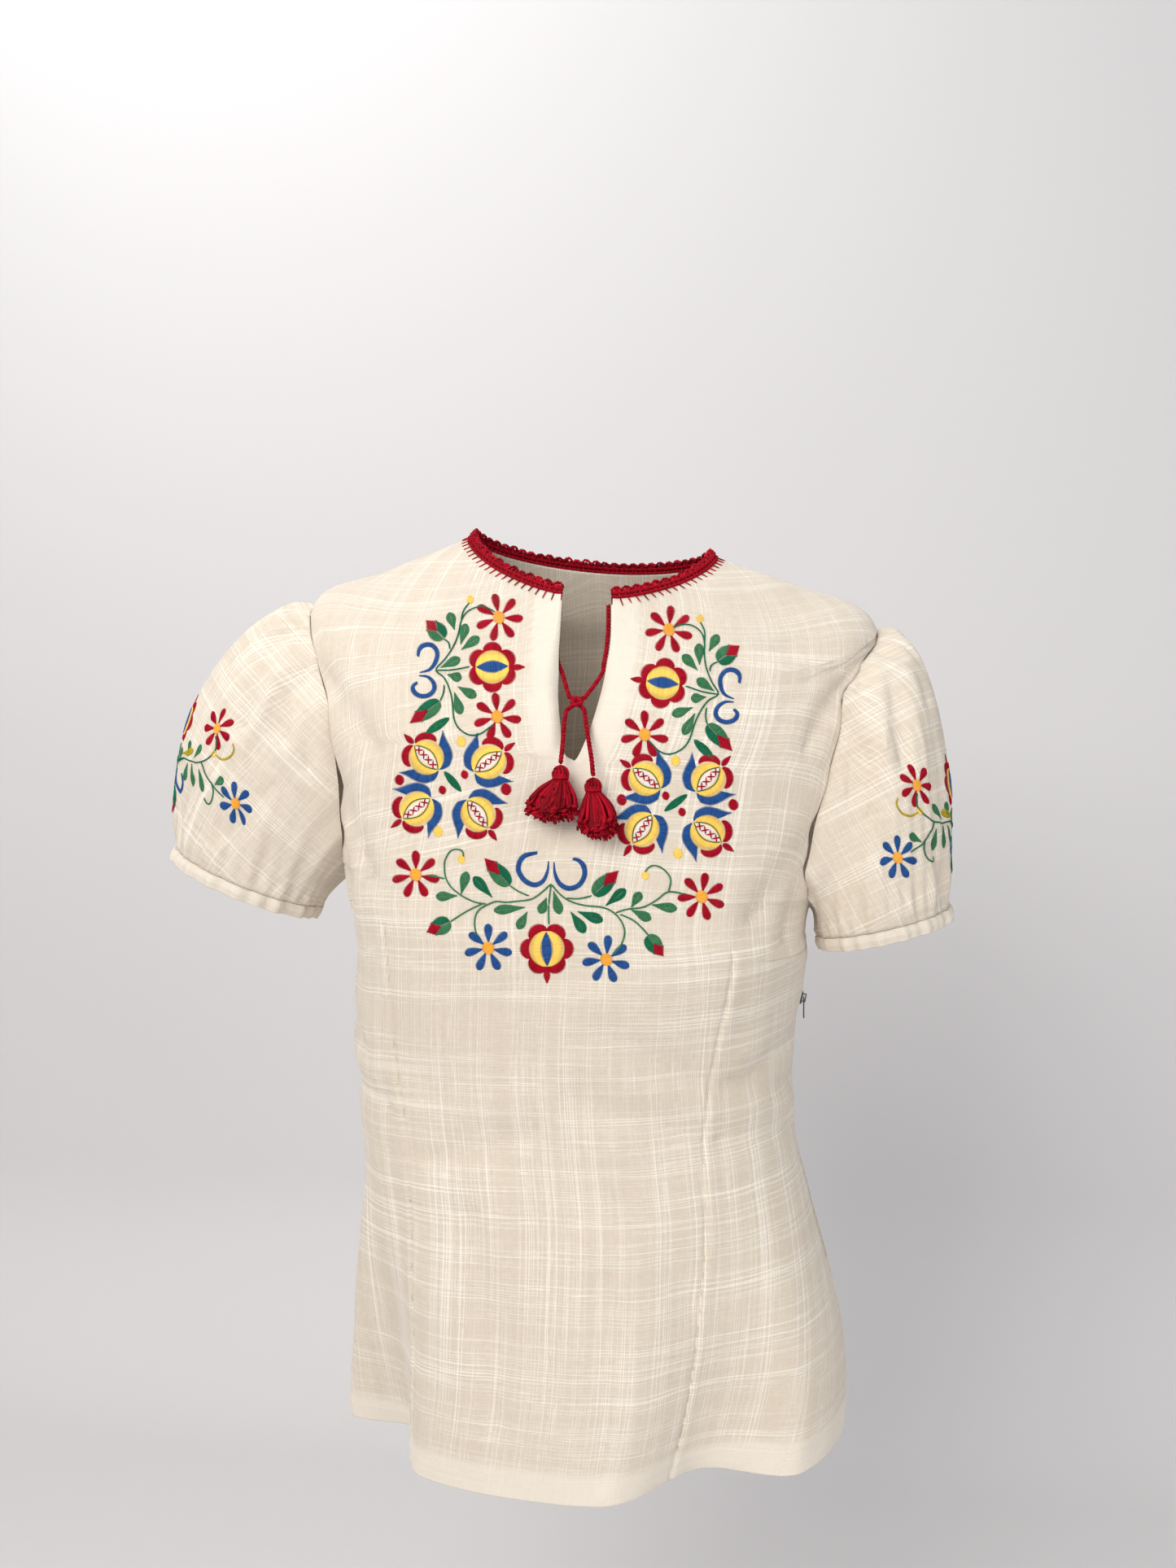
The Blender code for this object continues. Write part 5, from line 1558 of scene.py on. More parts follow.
class SleeveView:
    """Lays places on a sleeve as if it were unrolled: across from the spray's middle, up from the cuff."""

    middle: float = -25.0
    lean_from: float = 97.0
    rounds: int = 4

    def __init__(self, sleeve: PuffSleeve, lower: float, lean: float) -> None:
        """Measures the sleeve's grid.

        Args:
            sleeve: the built sleeve.
            lower: how much lower than usual the spray lies, in mm.
            lean: how far its lower parts lie further out, for each millimetre down.
        """
        self.points = sleeve.grid
        self.lower, self.lean = lower, lean
        self.top = self.points.shape[1] // 2
        walked, along = distances(self.points, 1), distances(self.points)
        self.across = walked - walked[:, self.top : self.top + 1]
        self.up = along[-1] - along
        self.normals = normals_of(self.points)
        out = self.points[10, self.top] - self.points[10].mean(axis=0)
        if self.normals[10, self.top] @ out < 0:
            self.normals = -self.normals

    def line(self, grid: Array, place: float) -> Array:
        """The grid's values between two of its rows."""
        low = min(int(place), len(grid) - 2)
        return grid[low] + (grid[low + 1] - grid[low]) * (place - low)

    def blend(self, grid: Array, row: float, column: float) -> Array:
        """The grid's value between four of its places."""
        low_row, low_column = min(int(row), len(grid) - 2), min(int(column), grid.shape[1] - 2)
        a, b = row - low_row, column - low_column
        low, high = grid[low_row : low_row + 2, low_column : low_column + 2]
        return (1 - a) * ((1 - b) * low[0] + b * low[1]) + a * ((1 - b) * high[0] + b * high[1])

    def lay(self, x: float, y: float) -> tuple[Vector, Vector] | None:
        """Point and normal of the sleeve at a place."""
        around = (x + self.middle + self.lean * (self.lean_from - y)) * MM
        height = (y - self.lower) * MM
        rows, columns = (np.arange(count) for count in self.up.shape)
        column = float(self.top)
        for _ in range(self.rounds):
            row = float(np.interp(height, self.line(self.up.T, column)[::-1], rows[::-1]))
            column = float(np.interp(around, self.line(self.across, row), columns))
        normal = unit(self.blend(self.normals, row, column))
        return Vector(self.blend(self.points, row, column)), Vector(normal)


def search_tree(surfaces: Iterable[tuple[Array, Array]]) -> BVHTree:
    """One search tree of several meshes."""
    points, faces, shift = [], [], 0
    for some_points, some_faces in surfaces:
        points += [Vector(point) for point in some_points.tolist()]
        faces += (some_faces + shift).tolist()
        shift += len(some_points)
    return BVHTree.FromPolygons(points, faces)


class ThreadWork:
    """Stitches gathered by colour, each a low ridge of thread that lies on the cloth."""

    stations: tuple[float, ...] = (0.0, 0.22, 0.78, 1.0)
    width: float = 0.00055
    height: float = 0.00032
    lift: float = 0.00020
    layer_height: float = 0.00030

    def __init__(self) -> None:
        """Starts with no stitches."""
        self.stitches: dict[Hue, list[Array]] = {hue: [] for hue in Hue}
        self.random = np.random.default_rng(11)

    def sew(
        self, hue: Hue, view: ChartView | SleeveView, segments: Array, width: float = 0.0, layer: int = 0
    ) -> None:
        """Adds stitches.

        Args:
            hue: colour of their thread.
            view: lays chart places on the cloth.
            segments: start and end of each stitch on the chart, in mm, as rows of four.
            width: width of the thread, or 0 for the usual one.
            layer: how many layers of stitches lie under them.
        """
        for x0, y0, x1, y1 in np.asarray(segments).reshape(-1, 4):
            row = []
            for t in self.stations:
                found = view.lay(x0 + (x1 - x0) * t, y0 + (y1 - y0) * t)
                if found is None:
                    break
                row.append((*found[0], *found[1]))
            if len(row) == len(self.stations):
                table = np.array(row)
                if np.linalg.norm(np.diff(table[:, :3], axis=0), axis=1).max() < 0.02:
                    sizes = np.full((len(row), 2), (width or self.width, layer))
                    self.stitches[hue].append(np.concatenate([table, sizes], 1))

    def run_along(
        self, hue: Hue, tree: BVHTree, route: Array, pitch: float, width: float, steps: int = 4
    ) -> None:
        """Adds a row of running stitches along a route that lies near the cloth.

        Args:
            hue: colour of their thread.
            tree: search tree of the cloth.
            route: points of the row.
            pitch: distance from one stitch's start to the next one's.
            width: width of the thread.
            steps: points of a stitch, of the five of its pitch; six let it meet the next one.
        """
        line = resample(route, pitch / 5, smooth=False)
        middle = line.mean(axis=0)
        for start in range(0, len(line) - 5, 5):
            row = []
            for step in np.linspace(0, steps - 1, 4).round().astype(int):
                place, normal, _, away = tree.find_nearest(Vector(line[start + step]))
                if place is None or away > 0.006:
                    break
                outward = normal if normal.dot(place - Vector(middle)) > 0 else -normal
                row.append((*place, *outward, width, 0.0))
            if len(row) == 4:
                self.stitches[hue].append(np.array(row))

    def build(self) -> None:
        """Builds one piece for each colour."""
        for hue, rows in self.stitches.items():
            if not rows:
                continue
            table = np.stack(rows)
            points, normals, width = table[..., :3], unit(table[..., 3:6]), table[..., 6:7]
            raised = self.layer_height * table[..., 7:8]
            ways = unit(np.gradient(points, axis=1))
            sides = unit(np.cross(normals, ways))
            taper = np.array([0.25, 1.0, 1.0, 0.25])[None, :, None]
            sinking = np.array([0.2, 1.0, 1.0, 0.2])[None, :, None]
            layer = self.lift + 0.00012 * self.random.random((len(rows), 1, 1))
            rise = sinking * self.height * width / self.width
            base = points + normals * (raised + layer * sinking)
            half = sides * width * taper / 2
            grid = np.stack([base - half, base + normals * rise, base + half], 2)
            one = grid_faces(4, 3)
            shifts = np.arange(len(rows)) * 12
            faces = (one[None] + shifts[:, None, None]).reshape(-1, 4)
            obj = new_mesh(f"embroidery_{hue.name.lower()}", grid, faces)
            set_value(obj, "tone", np.repeat(0.2 + 0.6 * self.random.random(len(rows)), 12))
            finish_piece(obj, MATERIALS[hue], "slub_cotton")
            LOG.info("%s: %d stitches", obj.name, len(rows))


PITCH = 0.46
STEM_THREAD = 0.0009


def rotate(points: Array, degrees: float) -> Array:
    """The points turned about 0,0."""
    angle = math.radians(degrees)
    turn = np.array([[math.cos(angle), math.sin(angle)], [-math.sin(angle), math.cos(angle)]])
    return np.asarray(points) @ turn


def satin(base: Array, tip: Array, width: Callable, slant: float = 0.1) -> Array:
    """Stitches across a shape that runs from base to tip.

    Args:
        base: start of its middle line.
        tip: end of its middle line.
        width: half width for each share of the way, an array function.
        slant: how far each stitch leans along the shape, as a share of its length.

    Returns:
        The stitches' segments.
    """
    way = np.asarray(tip, float) - base
    length = float(np.hypot(*way))
    side = np.array([-way[1], way[0]]) / length
    t = np.linspace(0.03, 0.97, max(3, round(length / PITCH)))
    low, high = clamp(t - slant), clamp(t + slant)
    left = base + way * low[:, None] + side * width(low)[:, None]
    right = base + way * high[:, None] - side * width(high)[:, None]
    return np.concatenate([left, right], 1)


def teardrop(base: Array, tip: Array, width: float, belly: float = 0.70) -> Array:
    """Satin teardrop with a thin start and a round end, widest at the given share of the way."""

    def half_width(t: Array) -> Array:
        """Half width for each share of the way."""
        start = 0.16 + 0.84 * np.sin(np.pi / 2 * clamp(t / belly)) ** 1.2
        end = np.sqrt(np.clip(1 - ((t - belly) / (1 - belly)) ** 2, 0.05, 1))
        return width / 2 * np.where(t < belly, start, end)

    return satin(base, tip, half_width, 0.03)


def leaf(base: Array, tip: Array, width: float, belly: float = 0.70) -> Array:
    """Leaf of two rows of stitches that slant from the vein to the edges."""
    base, way = np.asarray(base, float), np.asarray(tip, float) - base
    length = float(np.hypot(*way))
    side = np.array([-way[1], way[0]]) / length
    t = np.linspace(0.02, 0.97, max(3, round(length / PITCH)))
    end = np.clip(t + 0.10 * (1 - t), 0, 0.985)
    spread = width / 2 * np.sin(np.pi * end ** (math.log(0.5) / math.log(belly))) ** 0.65
    halves = []
    for way_out in (-1, 1):
        vein = base + way * t[:, None] - side * way_out * 0.22
        edge = base + way * end[:, None] + side * (way_out * spread)[:, None]
        halves.append(np.concatenate([vein, edge], 1))
    return np.concatenate(halves)


def disc(centre: Array, radius: float, angle: float = 0.0) -> Array:
    """Round spot filled with straight stitches."""
    t = np.linspace(-0.95, 0.95, max(3, round(2 * radius / PITCH)))
    reach = np.sqrt(1 - t**2) * radius
    rows = np.stack([-reach, t * radius, reach, t * radius], 1).reshape(-1, 2)
    return (rotate(rows, angle) + centre).reshape(-1, 4)


def rays(centre: Array, inner: Callable, outer: Callable, start: float, end: float) -> Array:
    """Stitches that run outwards between two edges.

    Args:
        centre: where the angles are counted from.
        inner: radius of the inner edge for each angle in degrees.
        outer: radius of the outer edge.
        start: first angle.
        end: last angle.

    Returns:
        The stitches' segments.
    """
    middle = (start + end) / 2
    arc = abs(math.radians(end - start)) * float(outer(np.array([middle]))[0])
    count = max(3, round(arc / (PITCH * 1.15)))
    angle = np.linspace(start, end, count)
    way = np.stack([np.cos(np.radians(angle)), np.sin(np.radians(angle))], -1)
    low, high = centre + way * inner(angle)[:, None], centre + way * outer(angle)[:, None]
    return np.concatenate([low, high], 1)


def band(points: Array, widths: Sequence[float]) -> Array:
    """Satin band along a curve, with widths given at even steps along it."""
    route = resample(np.asarray(points, float), PITCH)
    way = unit(np.gradient(route, axis=0))
    side = np.stack([-way[:, 1], way[:, 0]], -1)
    place = np.linspace(0, 1, len(route))
    half = np.interp(place, np.linspace(0, 1, len(widths)), widths)[:, None] / 2
    return np.concatenate([route - side * half - way * 0.3, route + side * half + way * 0.3], 1)


def stem(points: Array) -> Array:
    """Stem stitch along a curve: overlapping slanted stitches."""
    route = resample(np.asarray(points, float), 1.25)
    way = unit(np.gradient(route, axis=0))
    side = np.stack([-way[:, 1], way[:, 0]], -1) * 0.22
    return np.concatenate([route[:-2] - side[:-2], route[2:] + side[2:]], 1)


def cross(centre: Array, size: float, angle: float) -> Array:
    """Cross of two stitches."""
    half = size / 2
    ends = np.array([[-half, -half], [half, half], [-half, half], [half, -half]])
    return (rotate(ends, angle) + centre).reshape(-1, 4)


class Embroidery:
    """The motifs of the bodice and the sleeves."""

    def __init__(self, work: ThreadWork, view: ChartView) -> None:
        """Keeps the thread work and the view that lays it on the cloth."""
        self.work, self.view = work, view

    def sew(self, hue: Hue, segments: Array, width: float = 0.0, layer: int = 0) -> None:
        """Adds stitches of one colour."""
        self.work.sew(hue, self.view, segments, width, layer)

    def stems(self, hue: Hue, lines: Iterable[Array]) -> None:
        """Stem stitch along each line."""
        for line in lines:
            self.sew(hue, stem(line), STEM_THREAD, 1)

    def leaves(self, hue: Hue, lines: Iterable[Array], width: float, belly: float = 0.70) -> None:
        """A leaf from the start to the end of each line."""
        for base, tip in lines:
            self.sew(hue, leaf(base, tip, width, belly))

    def buds(self, buds: Iterable[tuple[Array, float]]) -> None:
        """A bud along each line, of the width beside it."""
        for (base, tip), width in buds:
            self.bud(base, tip, width)

    def daisy(self, centre: Array, hue: Hue, turn: float) -> None:
        """Seven teardrop petals round an orange centre."""
        for petal in range(7):
            angle = math.radians(turn + petal * 360 / 7)
            way = np.array([math.cos(angle), math.sin(angle)])
            self.sew(hue, teardrop(centre + way * 3.6, centre + way * 14.8, 5.7, 0.72))
        self.sew(Hue.ORANGE, disc(centre, 3.9, 20), layer=1)

    def flower(self, centre: Array, axis: float, size: float = 1.0) -> None:
        """Six red lobes round a yellow disc with a blue lens along the axis."""

        def outer(angle: Array) -> Array:
            """Edge of the lobes."""
            return size * (11.3 + 4.7 * np.abs(np.cos(np.radians((angle - axis) * 3 + 90))) ** 0.6)

        for lobe in range(6):
            middle = axis + 30 + 60 * lobe
            self.sew(Hue.RED, rays(centre, lambda a: 0 * a + 9.9 * size, outer, middle - 29, middle + 29))
        way = np.array([math.cos(math.radians(axis)), math.sin(math.radians(axis))]) * size
        self.sew(Hue.YELLOW, disc(centre, 10.4 * size, axis + 90), 0.0006, layer=1)
        eye = satin(centre - way * 9.8, centre + way * 9.8, self.lens(4.3 * size), 0.03)
        self.sew(Hue.BLUE, eye, layer=2)
        self.sew(Hue.RED, teardrop(centre + way * 20, centre + way * 12, 4.4 * size, 0.62))

    def lens(self, half_width: float) -> Callable:
        """Half width of a pointed lens for each share of the way."""
        return lambda t: half_width * np.sin(np.pi * t) ** 0.9

    def pomegranate(self, centre: Array, outward: float) -> None:
        """Half flower: yellow disc, white lens with red crosses, two red lobes and blue sepals."""
        turn = outward - 90

        def at(angle: Array) -> Array:
            """Angle from the outward way, 0 to 180 on each side."""
            return np.abs((angle - outward + 180) % 360 - 180)

        def sepal(angle: Array) -> Array:
            """Outer edge of the sepals."""
            radii = (19.4, 17.6, 16.6, 16.2, 16.3, 15.0, 11.4)
            return np.interp(at(angle), (75, 84, 94, 108, 130, 155, 175), radii)

        def sepal_inside(angle: Array) -> Array:
            """Inner edge of the sepals."""
            return np.interp(at(angle), (75, 80, 88), (18.4, 13.8, 10.2))

        def lobe(angle: Array) -> Array:
            """Outer edge of the red lobes."""
            return 11.4 + 4.6 * np.abs(np.sin(np.radians((at(angle) - 6) / 68 * 180))) ** 0.5

        for side in (-1, 1):
            self.sew(Hue.BLUE, rays(centre, sepal_inside, sepal, outward + side * 75, outward + side * 174))
            petal = rays(centre, lambda a: 0 * a + 10.9, lobe, outward + side * 7, outward + side * 73)
            self.sew(Hue.RED, petal)
        self.sew(Hue.YELLOW, disc(centre, 10.8, turn), 0.0006, layer=1)
        across, way = rotate(np.eye(2), turn)
        self.sew(Hue.WHITE, satin(centre - way * 9.8, centre + way * 9.8, self.lens(4.6), 0.0), 0.00065, 2)
        for edge in (-1, 1):
            t = np.linspace(0, 1, 12)
            outline = centre - way * 10.2 + np.outer(t, way * 20.4)
            outline = outline + np.outer(edge * 4.8 * np.sin(np.pi * t) ** 0.9, across)
            self.sew(Hue.DARK_GREEN, stem(outline), 0.00045, 3)
        for place in (-6.2, -2.1, 2.1, 6.2):
            self.sew(Hue.RED, cross(centre + way * place, 3.9, turn), 0.0009, 4)
        self.sew(Hue.RED, teardrop(centre + way * 20, centre + way * 12, 4.2, 0.62))

    def bud(self, base: Array, tip: Array, width: float) -> None:
        """Red tip that stands out of two green sepals."""
        base, way = np.asarray(base, float), np.asarray(tip, float) - base
        length = float(np.hypot(*way))
        side = np.array([-way[1], way[0]]) / length * width / 2
        petal = satin(base + way * 0.40, tip, lambda t: width * 0.40 * (1 - np.abs(2 * t - 1)), 0.0)
        self.sew(Hue.RED, petal, layer=1)
        t = np.linspace(0.01, 0.66, max(4, round(0.66 * length / (PITCH * 0.9))))[:, None]
        inner = clamp((t - 0.40) / 0.30) * 0.80
        outer = np.sin(np.pi * ((t + 0.08) / 0.92) ** 0.80) ** 0.7
        for hue, edge in ((Hue.GREEN, 1), (Hue.DARK_GREEN, -1)):
            low = base + way * t + side * edge * inner
            high = base + way * (t + 0.06) + side * edge * np.maximum(outer, inner)
            self.sew(hue, np.concatenate([low, high], 1), 0.0006, 1)

    def scroll(self, points: Array, width: float = 3.2) -> None:
        """Blue curl that starts thin and ends round."""
        widths = (0.8, width * 0.7, width, width, width, width * 1.05, width * 0.6)
        self.sew(Hue.BLUE, band(points, widths))


def mirror(places: Array) -> Array:
    """Chart places of the left upper spray carried to the right one."""
    x, y = places[..., 0], places[..., 1]
    return np.stack([-28.951 - 0.995 * x + 0.229 * y, -1.333 + 0.143 * x + 0.999 * y], -1)


def keep(places: Array) -> Array:
    """The chart places as they are."""
    return places


class UpperSpray(Embroidery):
    """Spray beside the neck slit: two daisies, a flower, two buds, scrolls and leaves."""

    def build(self, carry: Callable, flower_axis: float) -> None:
        """Sews the spray.

        Args:
            carry: brings the left spray's places to this side.
            flower_axis: way from the flower to its teardrop, in degrees.
        """
        stems = (
            chart((608.2, 752.7), (599, 747.6), (586.4, 746.4), (573.6, 752.7), (566.7, 763.6),
                  (563.6, 778.2),
                  (557.3, 794.5), (546.4, 810.9), (535.5, 823.6), (545.5, 832.7), (551.8, 845.5),
                  (555.5, 860),
                  (556.9, 874.5), (557.6, 881.8), (561.8, 892.7), (570.9, 900.9), (580, 904),
                  (590.9, 901.8),
                  (600, 895.5), (607.3, 890)),
            chart((537.3, 824), (555.5, 823.6), (577.3, 819.6)),
            chart((552.2, 798.2), (552.2, 790.9), (545.5, 785.5)),
            chart((546, 841.8), (545, 852), (540.9, 861.8)),
            chart((566.7, 763.6), (569.5, 751), (577, 741)),
        )
        self.stems(Hue.DARK_GREEN, map(carry, stems))
        buds = ((chart((546, 785), (523.6, 762.7)), 12.0), (chart((540.9, 861.8), (503.6, 889)), 10.5))
        self.buds((carry(line), width) for line, width in buds)
        curls = (
            chart((516.4, 826.4), (528.2, 822.7), (535.5, 812.7), (537.3, 801.8), (531.8, 793.6),
                  (522.7, 792.4),
                  (515.5, 797.3), (513.6, 806.4)),
            chart((515.5, 830.5), (525.5, 831.8), (532.7, 839), (533.6, 847.3), (527.3, 854.2),
                  (517.3, 855.5),
                  (509, 850.9), (507.3, 843.6), (512.7, 839)),
        )
        for line in curls:
            self.scroll(carry(line))
        leaves = (
            chart((558.7, 774.9), (552.2, 752.7)), chart((566, 792.7), (572.7, 766.4)),
            chart((566.4, 799), (589, 782.7)), chart((540.9, 820.9), (565.5, 809)),
            chart((549, 829), (567.3, 833.6)), chart((561.8, 843.6), (585.5, 856.4)),
            chart((558.2, 850), (566.4, 878.2)),
        )
        self.leaves(Hue.GREEN, map(carry, leaves), 6.4)
        self.leaves(Hue.DARK_GREEN, [carry(chart((552.7, 881.8), (523.3, 901.5)))], 5.6, 0.52)
        self.sew(Hue.YELLOW, disc(carry(chart((578, 737)))[0], 2.6))
        self.flower(carry(chart((605, 820)))[0], flower_axis)


class Daisies(Embroidery):
    """The daisies of the bodice."""

    places: tuple[tuple[float, float, Hue, float], ...] = (
        (613, 759, Hue.RED, 100), (611, 881, Hue.RED, 95), (822, 774, Hue.RED, 85),
        (792, 903, Hue.RED, 90),
        (511, 1075, Hue.RED, 90), (862, 1102, Hue.RED, 80), (600, 1165, Hue.BLUE, 90),
        (745, 1179, Hue.BLUE, 85),
    )

    def build(self) -> None:
        """Sews each daisy with its turn in degrees."""
        for x, y, hue, turn in self.places:
            self.daisy(chart((x, y))[0], hue, turn)


class MiddleBand(Embroidery):
    """Two pairs of half flowers below the slit, with dots and a dark leaf between them."""

    def build(self) -> None:
        """Sews both groups."""
        halves = (
            (524.5, 931, 134), (600.4, 936.4, 36), (512.7, 993.6, 216), (587.3, 1000.4, -55),
            (794, 957, 144), (870, 958, 46), (789, 1019, 235.5), (869, 1023, -36),
        )
        for x, y, outward in halves:
            self.pomegranate(chart((x, y))[0], outward)
        dark = (chart((545.5, 947.6), (567, 973)), chart((845, 976), (816, 997)))
        self.leaves(Hue.DARK_GREEN, dark, 4.8, 0.52)
        red = ((490.9, 958.5, 3.2), (570.9, 952, 2.6), (543.6, 970.9, 2.6), (621.8, 970, 3.6),
               (764, 983, 3.4), (818, 978, 2.6), (838, 998, 2.6), (901, 989, 3.4))
        for x, y, radius in red:
            self.sew(Hue.RED, disc(chart((x, y))[0], radius, 15))
        for x, y in ((566.9, 911.3), (538.5, 1022), (830, 935), (833, 1049)):
            self.sew(Hue.YELLOW, disc(chart((x, y))[0], 3.2, 15))


class LowerSpray(Embroidery):
    """Wide spray below the bust: a flower on a stem between scrolls, buds and daisies."""

    def build(self) -> None:
        """Sews the spray."""
        self.flower(chart((672, 1166))[0], -90.0, 1.06)
        stems = (
            chart((677.3, 1086.4), (687.3, 1098.2), (700, 1107.3), (718.2, 1112.7), (741.8, 1115.5),
                  (756.4, 1123.6),
                  (765.5, 1136.4), (767.3, 1149), (761.8, 1163.6), (752.7, 1173.6)),
            chart((695.5, 1103.6), (710.9, 1104.5), (727.3, 1100.9)),
            chart((756.4, 1121.8), (770.9, 1117.3), (790, 1115), (807, 1106), (821, 1096), (842, 1099)),
            chart((821, 1096), (824, 1080), (813, 1066.7), (800, 1064), (792, 1072)),
            chart((761.8, 1123.6), (778, 1131), (790, 1141.8), (797, 1150)),
            chart((677.3, 1086.4), (674.2, 1112.7), (674.5, 1136.4)),
            chart((677.3, 1086.4), (656.4, 1103.6), (638.2, 1107.3), (620, 1109), (611.8, 1107.6),
                  (600.9, 1110.9),
                  (588.2, 1118.2), (583.6, 1129), (583.6, 1140), (586.4, 1150)),
            chart((597.3, 1110.9), (582.7, 1108.2), (566.4, 1100), (553.6, 1089), (547.3, 1076.4),
                  (546.4, 1063.6),
                  (546.7, 1058), (554.7, 1045), (568, 1045), (569.6, 1053)),
            chart((650, 1101), (637.3, 1095.5), (626.4, 1088)),
            chart((593.6, 1110), (573.6, 1120), (553.6, 1132.7)),
            chart((546.4, 1080), (535, 1077), (526, 1076)),
        )
        self.stems(Hue.GREEN, stems)
        curls = (
            chart((680.9, 1060), (681.8, 1072.7), (687.3, 1085.5), (698.2, 1091.8), (710.9, 1088.2),
                  (718.2, 1076.4),
                  (717.3, 1064.5), (710.9, 1057.3), (704.5, 1055.5)),
            chart((674.2, 1059), (672.7, 1070.9), (667.3, 1082.7), (657.3, 1087.6), (645.5, 1082.7),
                  (637.3, 1070.9),
                  (638.2, 1060), (644.5, 1051.8), (659.7, 1048)),
        )
        for line in curls:
            self.scroll(line, 3.4)
        buds = (
            (chart((729, 1100), (760, 1070)), 11.0), (chart((795, 1150), (815, 1175)), 10.5),
            (chart((626.4, 1088), (595.5, 1054.5)), 11.0), (chart((553.6, 1132.7), (524.5, 1145.5)), 11.5),
        )
        self.buds(buds)
        leaves = (
            chart((671.8, 1102.7), (663.6, 1122.7)), chart((680, 1094.5), (688.2, 1123.6)),
            chart((648.2, 1120), (636.4, 1141.8)), chart((646.4, 1115), (606.4, 1119)),
            chart((775.5, 1115.5), (787.3, 1096.4)), chart((566.4, 1100), (573.6, 1070.9)),
            chart((562.7, 1100.9), (535.5, 1101.8)), chart((775, 1118), (800, 1130)),
            chart((800, 1112), (832, 1117)),
        )
        self.leaves(Hue.GREEN, leaves, 6.4)
        dark = (
            chart((700.9, 1120), (719, 1146.4)), chart((709, 1120), (740.9, 1131.8)),
            chart((743.6, 1113.6), (769, 1092.7)), chart((605.5, 1103.6), (581.8, 1077.3)),
        )
        self.leaves(Hue.DARK_GREEN, dark, 6.8)
        for place in chart((793, 1076), (567, 1056)):
            self.sew(Hue.YELLOW, disc(place, 2.6))


class SleeveSpray(Embroidery):
    """Spray down the outer side of a sleeve, the same on both halves."""

    def build(self) -> None:
        """Sews the spray, in millimetres across from its middle and up from the cuff."""
        self.flower(np.array([0.0, 92.0]), 90.0)
        self.stems(Hue.DARK_GREEN, [np.array([(0, 76), (0, 60), (0, 46)], float)])
        self.bud(np.array((0.0, 46.0)), np.array((0.0, 26.0)), 11.0)
        for side in (-1, 1):
            self.half(side)

    def half(self, side: int) -> None:
        """Sews what lies on one side of the middle, described for the front half."""

        def placed(*places: tuple[float, float]) -> Array:
            """The places on this side."""
            return np.array(places, float) * (-side, 1.0)

        self.stems(Hue.DARK_GREEN, (
            placed((-50, 92), (-53, 86), (-51, 79), (-41, 71), (-27, 68), (-15, 67.5), (0, 62)),
            placed((-41, 71), (-47, 65), (-55, 59.5), (-68, 55.5)),
            placed((-53, 61), (-57, 55), (-55, 48), (-50, 45.5), (-47, 48.5)),
            placed((0, 60), (-6, 63), (-15, 67.5)),
        ))
        curl = placed((-52, 80), (-60, 78.5), (-67, 82), (-70, 88), (-68, 92))
        self.sew(Hue.OLIVE, band(curl, (0.8, 1.6, 1.8, 1.6, 1.2)))
        self.scroll(placed((-3, 57), (-5, 48), (-11, 44), (-17, 47), (-18, 53), (-13, 56)))
        leaves = (
            placed((-29, 67), (-33, 52)), placed((-39, 66), (-46, 52)), placed((-24, 66), (-20, 53)),
            placed((-31, 71), (-38, 82)), placed((-22, 70), (-19, 81)), placed((-57, 60), (-66, 67)),
            placed((-8, 65), (-9, 74)),
        )
        self.leaves(Hue.GREEN, leaves, 6.2)
        self.leaves(Hue.OLIVE, [placed((-11, 69.5), (-28, 75.5))], 6.0)
        red, blue, dot = placed((-49, 97), (-78, 54), (-52, 80))
        self.daisy(red, Hue.RED, 90)
        self.daisy(blue, Hue.BLUE, 80)
        self.sew(Hue.YELLOW, disc(dot, 2.4), layer=1)


